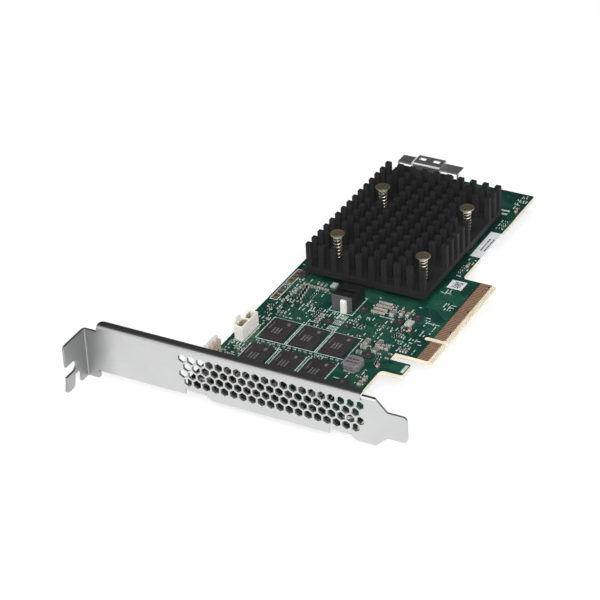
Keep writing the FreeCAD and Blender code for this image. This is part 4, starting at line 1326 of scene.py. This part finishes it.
    def _copper(self) -> None:
        """Bundles of traces under the mask."""
        bundles = []
        for start, runs, count, step in self.copper:
            begin = (start[0], start[1], self.trace_rise)
            trace = Bench.strip("trace", begin, runs, self.trace_width, self.trace_rise + self.sunk)
            bundles.append(Bench.repeated(trace, count, step))
        Bench.dress(Bench.joined("copper_traces", bundles), TRACE, "board_mask")

    def _hatch(self) -> None:
        """White hatched ground between the memory and the socket, and short combs between the rows."""
        low, pitch, rows = self.hatch_rows
        bars = [placed(start + length / 2, low + row * pitch, 0.0, 0.0, (length, 0.9, 1.0))
                for row in range(rows) for start, length in self.hatch_runs]
        bars += [placed(start + column * self.comb_pitch, y, 0.0, 60.0, (0.42, 0.8, 1.0))
                 for start, y, count in self.combs for column in range(count)]
        top = self.ink + self.legend_edge
        model = Bench.block("bar", (-0.5, -0.12, -self.sunk), (0.5, 0.12, top), self.legend_edge)
        Bench.dress(Bench.scattered("legend_hatch", model, bars), INK_WHITE, "board_mask")


@dataclass
class TailSolder:
    """Solder cones round the header pins' tails under the board."""

    nodes: tuple[str, ...] = ("wire_header_pins", "side_header_pins")
    profile: tuple[tuple[float, float], ...] = ((0.42, -0.55), (0.56, -0.2), (0.8, 0.0))
    reach: float = 1.0
    below: float = 0.3
    sides: int = 16

    def build(self) -> None:
        """One cone at each tail."""
        model = Bench.turned("cone", self.profile, self.sides)
        places = [placed(x, y, -MASK.board_thickness) for node in self.nodes for x, y in self._tails(node)]
        Bench.dress(Bench.scattered("tail_solder", model, places), SOLDER, "solder")

    def _tails(self, node: str) -> list[tuple[float, float]]:
        """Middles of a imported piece's tails.

        Args:
            node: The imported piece.

        Returns:
            Place of each tail.
        """
        groups: list[list[Vector]] = []
        for vertex in frame["nodes"][node].data.vertices:
            place = vertex.co / MM
            if place.z > -MASK.board_thickness - self.below:
                continue
            near = next((group for group in groups if (group[0].xy - place.xy).length < self.reach), None)
            if near is None:
                groups.append([place])
            else:
                near.append(place)
        return [((x0 + x1) / 2, (y0 + y1) / 2) for x0, x1, y0, y1 in map(plan, groups)]


# ---------------------------------------------------------------- memory and other chips
@dataclass
class MemoryBank:
    """Memory chips with softened edges and plain marking bars."""

    count: int = 6
    edge: float = 0.05
    ink: float = 0.012
    rows: tuple[float, ...] = (1.35, 0.2, -0.95)
    words: tuple[tuple[float, float], ...] = ((-2.9, 0.9), (-1.75, 1.3), (-0.2, 0.7))
    stroke: float = 0.55

    def build(self) -> None:
        """Every chip and its marking."""
        bars: list[Matrix] = []
        for number in range(1, self.count + 1):
            node = f"memory_chip_{number}"
            low, high = (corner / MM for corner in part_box(node))
            Bench.dress(Bench.softened(node, f"memory_package_{number}", self.edge), RESIN, "chip_resin")
            bars += self._marking((low + high) / 2, high.z)
        model = Bench.bar(self.ink)
        Bench.dress(Bench.scattered("memory_marking", model, bars), INK_GREY, "chip_resin")

    def _marking(self, middle: Vector, top: float) -> list[Matrix]:
        """Bars of one chip's marking, in short broken rows.

        Args:
            middle: The chip's centre.
            top: Height of its top face.

        Returns:
            Placement of each bar.
        """
        bars = [placed(middle.x + start + length / 2, middle.y + row, top, 0.0, (length, self.stroke, 1.0))
                for row in self.rows for start, length in self.words]
        bars.append(placed(middle.x + 3.6, middle.y - 2.0, top, 0.0, (1.5, 1.1, 1.0)))
        bars.append(placed(middle.x + 1.2, middle.y + 3.3, top, 0.0, (4.2, 0.28, 1.0)))
        return bars


@dataclass
class Inductor:
    """Moulded inductor with plain bars."""

    edge: float = 0.1
    ink: float = 0.012
    bar: tuple[float, float] = (0.6, 1.1)

    def build(self) -> None:
        """Body with worn corners, and its bars."""
        low, high = (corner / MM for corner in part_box("power_inductor"))
        body = Bench.softened("power_inductor", "inductor_body", self.edge, 2)
        Bench.dress(body, FERRITE, "inductor_grey")
        x, y = (low.x + high.x) / 2, (low.y + high.y) / 2
        model = Bench.bar(self.ink)
        places = [placed(x + along, y + shift, high.z, 0.0, (*self.bar, 1.0))
                  for along in (-0.9, 0.9) for shift in (-1.4, 0.0, 1.4)]
        Bench.dress(Bench.scattered("inductor_marking", model, places), INK_DARK, "inductor_grey")


@dataclass
class SmallChipMarking:
    """Pin-one dots and short bars on the small chips."""

    ink: float = 0.01
    stroke: float = 0.24
    dot_inset: float = 0.35
    apart: float = 6.0

    def build(self) -> None:
        """One dot and one bar on each top face."""
        places = []
        node = frame["nodes"]["small_chips"]
        tops: dict[tuple[float, float], list[Vector]] = {}
        for polygon in node.data.polygons:
            if polygon.normal.z > 0.99:
                corners = [node.data.vertices[index].co / MM for index in polygon.vertices]
                key = (round(corners[0].x / self.apart), round(corners[0].y / self.apart))
                tops.setdefault(key, []).extend(corners)
        for corners in tops.values():
            x0, x1, y0, y1 = plan(corners)
            x, y, z = (x0 + x1) / 2, (y0 + y1) / 2, corners[0].z
            places.append(placed(x, y + 0.3, z, 0.0, (1.1, self.stroke, 1.0)))
            places.append(placed(x, y - 0.2, z, 0.0, (0.8, self.stroke, 1.0)))
            dot = (self.stroke, self.stroke, 1.0)
            places.append(placed(x0 + self.dot_inset, y0 + self.dot_inset, z, 0.0, dot))
        model = Bench.bar(self.ink)
        Bench.dress(Bench.scattered("chip_marking", model, places), INK_GREY, "chip_resin")


# ---------------------------------------------------------------- heatsink and its pins
@dataclass
class CoolingBlock:
    """Heatsink with softened fins, and the pins and springs that hold it."""

    pins: int = 4
    fin_edge: float = 0.14
    wire: float = 0.2
    turns: int = 6
    steps: int = 18
    top_radius: float = 1.5
    low_radius: float = 1.05
    sides: int = 32
    foot: tuple[tuple[float, float], ...] = ((0.6, 0.0), (1.2, 1.35), (1.2, 1.5), (0.84, 1.55))
    collar: tuple[tuple[float, float], ...] = ((0.84, 1.9), (1.5, 1.8), (1.6, 1.7), (1.75, 0.8), (2.3, 0.56))
    crown: tuple[tuple[float, float], ...] = (
        (0.06, 0.46), (0.0, 0.38), (0.0, 0.16), (0.08, 0.06),
        (0.25, 0.02), (0.5, 0.0), (0.75, 0.06), (1.0, 0.1),
    )
    hollow: tuple[float, float] = (0.35, 0.08)

    def build(self) -> None:
        """Fin block, then each pin with its spring."""
        Bench.dress(Bench.softened("heatsink", "fin_block", self.fin_edge), ANODISED, "black_anodised")
        for number in range(1, self.pins + 1):
            self._pin(number)
            self._spring(number)

    def _pin(self, number: int) -> None:
        """Turned pin: rounded head, tapered collar, shaft and barbed tip."""
        node = f"spring_pin_{number}"
        low, high = (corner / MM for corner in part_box(node))
        head = (high.x - low.x) / 2
        top = high.z
        profile = [(radius, low.z + rise) for radius, rise in self.foot]
        profile += [(radius, top - drop) for radius, drop in self.collar]
        profile += [(head - inset, top - drop) for inset, drop in self.crown]
        profile.append((self.hollow[0], top - self.hollow[1]))
        piece = Bench.turned(f"clamp_pin_{number}", profile, self.sides)
        piece.location = ((low.x + high.x) / 2 * MM, (low.y + high.y) / 2 * MM, 0.0)
        Bench.settle(piece)
        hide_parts(node)
        Bench.dress(piece, PIN_METAL, "pin_brass")

    def _spring(self, number: int) -> None:
        """Coil that narrows towards the board."""
        node = f"pin_spring_{number}"
        low, high = (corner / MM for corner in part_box(node))
        x, y = (low.x + high.x) / 2, (low.y + high.y) / 2
        floor, roof = low.z + self.wire, high.z + self.wire
        count = self.turns * self.steps
        curve = bpy.data.curves.new(f"clamp_spring_{number}", "CURVE")
        curve.dimensions = "3D"
        curve.bevel_depth = self.wire * MM
        curve.bevel_resolution = 3
        curve.use_fill_caps = True
        line = curve.splines.new("NURBS")
        line.points.add(count)
        for index in range(count + 1):
            share = index / count
            radius = self.low_radius + (self.top_radius - self.low_radius) * share
            angle = math.tau * index / self.steps
            line.points[index].co = ((x + radius * math.cos(angle)) * MM, (y + radius * math.sin(angle)) * MM,
                                     (floor + (roof - floor) * share) * MM, 1.0)
        line.order_u = 3
        line.use_endpoint_u = True
        line.resolution_u = 2
        piece = bpy.data.objects.new(f"clamp_spring_{number}", curve)
        bpy.context.scene.collection.objects.link(piece)
        Bench.take(piece)
        bpy.ops.object.convert(target="MESH")
        piece = bpy.context.active_object
        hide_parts(node)
        Bench.dress(piece, SPRING, "spring_wire")


# ---------------------------------------------------------------- bracket, headers, socket and port
@dataclass(frozen=True)
class SoftPiece:
    """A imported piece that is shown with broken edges."""

    node: str
    name: str
    finish: Finish
    slot: str
    edge: float
    segments: int = 1

    def build(self) -> None:
        """Makes and dresses the piece."""
        Bench.dress(Bench.softened(self.node, self.name, self.edge, self.segments), self.finish, self.slot)


SOFT_PIECES = (
    SoftPiece("mounting_bracket", "bracket_sheet", STEEL, "bracket_steel", 0.07),
    SoftPiece("bracket_screws", "bracket_screw_pair", SCREW, "screw_metal", 0.06),
    SoftPiece("wire_header_housing", "wire_header_shroud", NYLON, "white_nylon", 0.14, 2),
    SoftPiece("side_header_housing", "side_header_shroud", CLEAR_NYLON, "clear_nylon", 0.12, 2),
    SoftPiece("module_socket_housing", "module_socket_body", SOCKET, "socket_black", 0.12, 2),
    SoftPiece("module_socket_plate", "module_socket_latch", LATCH, "latch_grey", 0.06),
    SoftPiece("port_housing", "port_body", SOCKET, "socket_black", 0.12, 2),
    SoftPiece("port_hood", "port_cover", HOOD, "hood_steel", 0.05),
    SoftPiece("capacitor_bodies", "capacitor_blocks", TAN, "capacitor_tan", 0.05),
    SoftPiece("capacitor_array", "capacitor_array_blocks", PALE, "capacitor_tan", 0.05),
    SoftPiece("chip_terminals", "chip_end_caps", TIN, "solder", 0.06),
    SoftPiece("controller_substrate", "controller_plate", PACKAGE, "package_green", 0.05),
)

NODE_FINISHES: dict[str, Finish] = {
    "circuit_board": MASK, "edge_contacts": GOLD, "thermal_pad": PAD_SOFT, "controller_lid": LID,
    "controller_solder_balls": SOLDER, "inductor_terminals": TIN, "resistor_bodies": BLACK_CHIP,
    "amber_chip_bodies": AMBER, "underside_capacitors": TAN, "small_chips": RESIN, "crystals": CRYSTAL,
    "wire_header_pins": TIN, "side_header_pins": PIN_BEIGE, "module_socket_key": KEY,
    "module_socket_contacts": TIN, "port_contacts": GOLD, "code_label": PAPER, "edge_label": PAPER,
}


def dress_packed_nodes() -> None:
    """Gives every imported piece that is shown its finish."""
    for name, finish in NODE_FINISHES.items():
        node = frame["nodes"][name]
        node.data.materials.clear()
        node.data.materials.append(finish.material())
        LOG.info("%s: %s", name, finish.name)


@dataclass
class LabelPrint:
    """Plain print on the two labels."""

    ink: float = 0.01
    edge: float = 0.002
    cells: int = 14
    side: float = 3.4
    seed: int = 5

    def build(self) -> None:
        """Random block pattern on one label and rows of bars on the other."""
        self._blocks()
        self._bars()

    def _blocks(self) -> None:
        """Square field of random blocks."""
        dice = random.Random(self.seed)
        low, high = (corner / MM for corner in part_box("code_label"))
        cell = self.side / self.cells
        x0, y0 = low.x + 0.8, (low.y + high.y - self.side) / 2
        places = [placed(x0 + (column + 0.5) * cell, y0 + (row + 0.5) * cell, high.z, 0.0, (cell, cell, 1.0))
                  for row in range(self.cells) for column in range(self.cells) if dice.random() < 0.5]
        places += [placed(high.x - 0.9, y, high.z, 90.0, (1.2, 0.3, 1.0)) for y in (low.y + 1.5, low.y + 3.6)]
        model = Bench.bar(self.ink, self.edge)
        Bench.dress(Bench.scattered("code_label_print", model, places), INK_DARK, "label_paper")

    def _bars(self) -> None:
        """Two rows of short bars."""
        dice = random.Random(self.seed + 1)
        low, high = (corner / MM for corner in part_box("edge_label"))
        places = []
        for y in (high.y - 1.9, high.y - 3.3):
            x = low.x + 4.6
            while x < high.x - 5.4:
                length = dice.choice((0.4, 0.7, 1.0))
                places.append(placed(x + length / 2, y, high.z, 0.0, (length, 0.6, 1.0)))
                x += length + 0.3
        model = Bench.bar(self.ink, self.edge)
        Bench.dress(Bench.scattered("edge_label_print", model, places), INK_DARK, "label_paper")


# ---------------------------------------------------------------- studio
@dataclass
class Studio:
    """Pale floor, soft lights and the camera."""

    focal_length: float = 152.96
    sensor: float = 36.0
    camera_place: Place = (-581.66, -309.79, 469.29)
    right: Place = (0.47057, -0.88119, -0.04559)
    up: Place = (0.49064, 0.21836, 0.84357)
    forward: Place = (0.73338, 0.41932, -0.53509)
    floor_size: float = 6000.0
    floor_gap: float = 0.2
    floor_glow: float = 0.72
    pale_side: Place = (-0.8, -0.55, -0.05)
    world_reach: tuple[float, float] = (-0.45, 0.75)
    world_strength: tuple[float, float] = (0.03, 0.8)
    lights: tuple[tuple[str, Place, float, float], ...] = (
        ("front_light", (-620.0, -420.0, 520.0), 700.0, 7.5),
        ("side_light", (-260.0, -700.0, 420.0), 500.0, 0.6),
        ("top_light", (-60.0, 60.0, 900.0), 420.0, 2.2),
    )

    def build(self) -> None:
        """Floor, world, lights and camera."""
        self._floor()
        self._world()
        for light in self.lights:
            self._light(*light)
        self._camera()

    def _floor(self) -> None:
        """Wide pale floor under the lowest point of the card."""
        bpy.ops.object.select_all(action="DESELECT")
        level = CAD_BOX[0].z - self.floor_gap * MM
        bpy.ops.mesh.primitive_plane_add(size=self.floor_size * MM, location=(0, 0, level))
        floor = bpy.context.active_object
        floor.name = "floor"
        Bench.settle(floor)
        graph = Graph("floor_paper")
        drift = graph.noise(300.0, 2.0)
        graph.feed("Base Color", graph.blend(drift, (0.4, 0.4, 0.4), (0.43, 0.43, 0.43)))
        graph.feed("Roughness", 0.9)
        graph.feed("Specular IOR Level", 0.1)
        graph.feed("Emission Color", WHITE)
        graph.feed("Emission Strength", self.floor_glow)
        floor.data.materials.append(graph.material)

    def _world(self) -> None:
        """Surroundings that are pale in front of the card and dark behind it."""
        world = bpy.data.worlds.new("room")
        bpy.context.scene.world = world
        world.use_nodes = True
        tree = world.node_tree
        tree.nodes.clear()
        place = tree.nodes.new("ShaderNodeTexCoord")
        facing = tree.nodes.new("ShaderNodeVectorMath")
        facing.operation = "DOT_PRODUCT"
        facing.inputs[1].default_value = Vector(self.pale_side).normalized()
        tree.links.new(place.outputs["Generated"], facing.inputs[0])
        rise = tree.nodes.new("ShaderNodeMapRange")
        rise.interpolation_type = "SMOOTHSTEP"
        for index, value in enumerate((*self.world_reach, *self.world_strength), start=1):
            rise.inputs[index].default_value = value
        tree.links.new(facing.outputs["Value"], rise.inputs[0])
        background = tree.nodes.new("ShaderNodeBackground")
        tree.links.new(rise.outputs[0], background.inputs["Strength"])
        output = tree.nodes.new("ShaderNodeOutputWorld")
        tree.links.new(background.outputs[0], output.inputs[0])

    def _light(self, name: str, place: Place, size: float, power: float) -> None:
        """Square soft light that looks at the card's middle.

        Args:
            name: Light name.
            place: Where it stands.
            size: Its side.
            power: Its power in watts.
        """
        lamp = bpy.data.lights.new(name, "AREA")
        lamp.size = size * MM
        lamp.energy = power
        light = bpy.data.objects.new(name, lamp)
        bpy.context.scene.collection.objects.link(light)
        middle = (CAD_BOX[0] + CAD_BOX[1]) / 2
        light.location = Vector(place) * MM
        light.rotation_euler = (middle - light.location).to_track_quat("-Z", "Y").to_euler()

    def _camera(self) -> None:
        """Camera at its place, with no depth of field."""
        data = bpy.data.cameras.new("camera")
        data.lens = self.focal_length
        data.sensor_width = self.sensor
        data.clip_start = 0.01
        data.clip_end = 20.0
        camera = bpy.data.objects.new("camera", data)
        bpy.context.scene.collection.objects.link(camera)
        back = [-value for value in self.forward]
        axes = Matrix((self.right, self.up, back)).transposed().to_4x4()
        camera.matrix_world = Matrix.Translation(Vector(self.camera_place) * MM) @ axes
        bpy.context.scene.camera = camera


def main() -> None:
    """Builds the studio and dresses the card."""
    logging.basicConfig(level=logging.INFO, format="%(message)s")
    bpy.context.scene.view_settings.view_transform = "Standard"
    ground = Footprints()
    Studio().build()
    dress_packed_nodes()
    BoardArt(ground).build()
    FineParts(ground).build()
    MemoryBank().build()
    Inductor().build()
    SmallChipMarking().build()
    TailSolder().build()
    CoolingBlock().build()
    for piece in SOFT_PIECES:
        piece.build()
    LabelPrint().build()


if __name__ == "__main__":
    main()
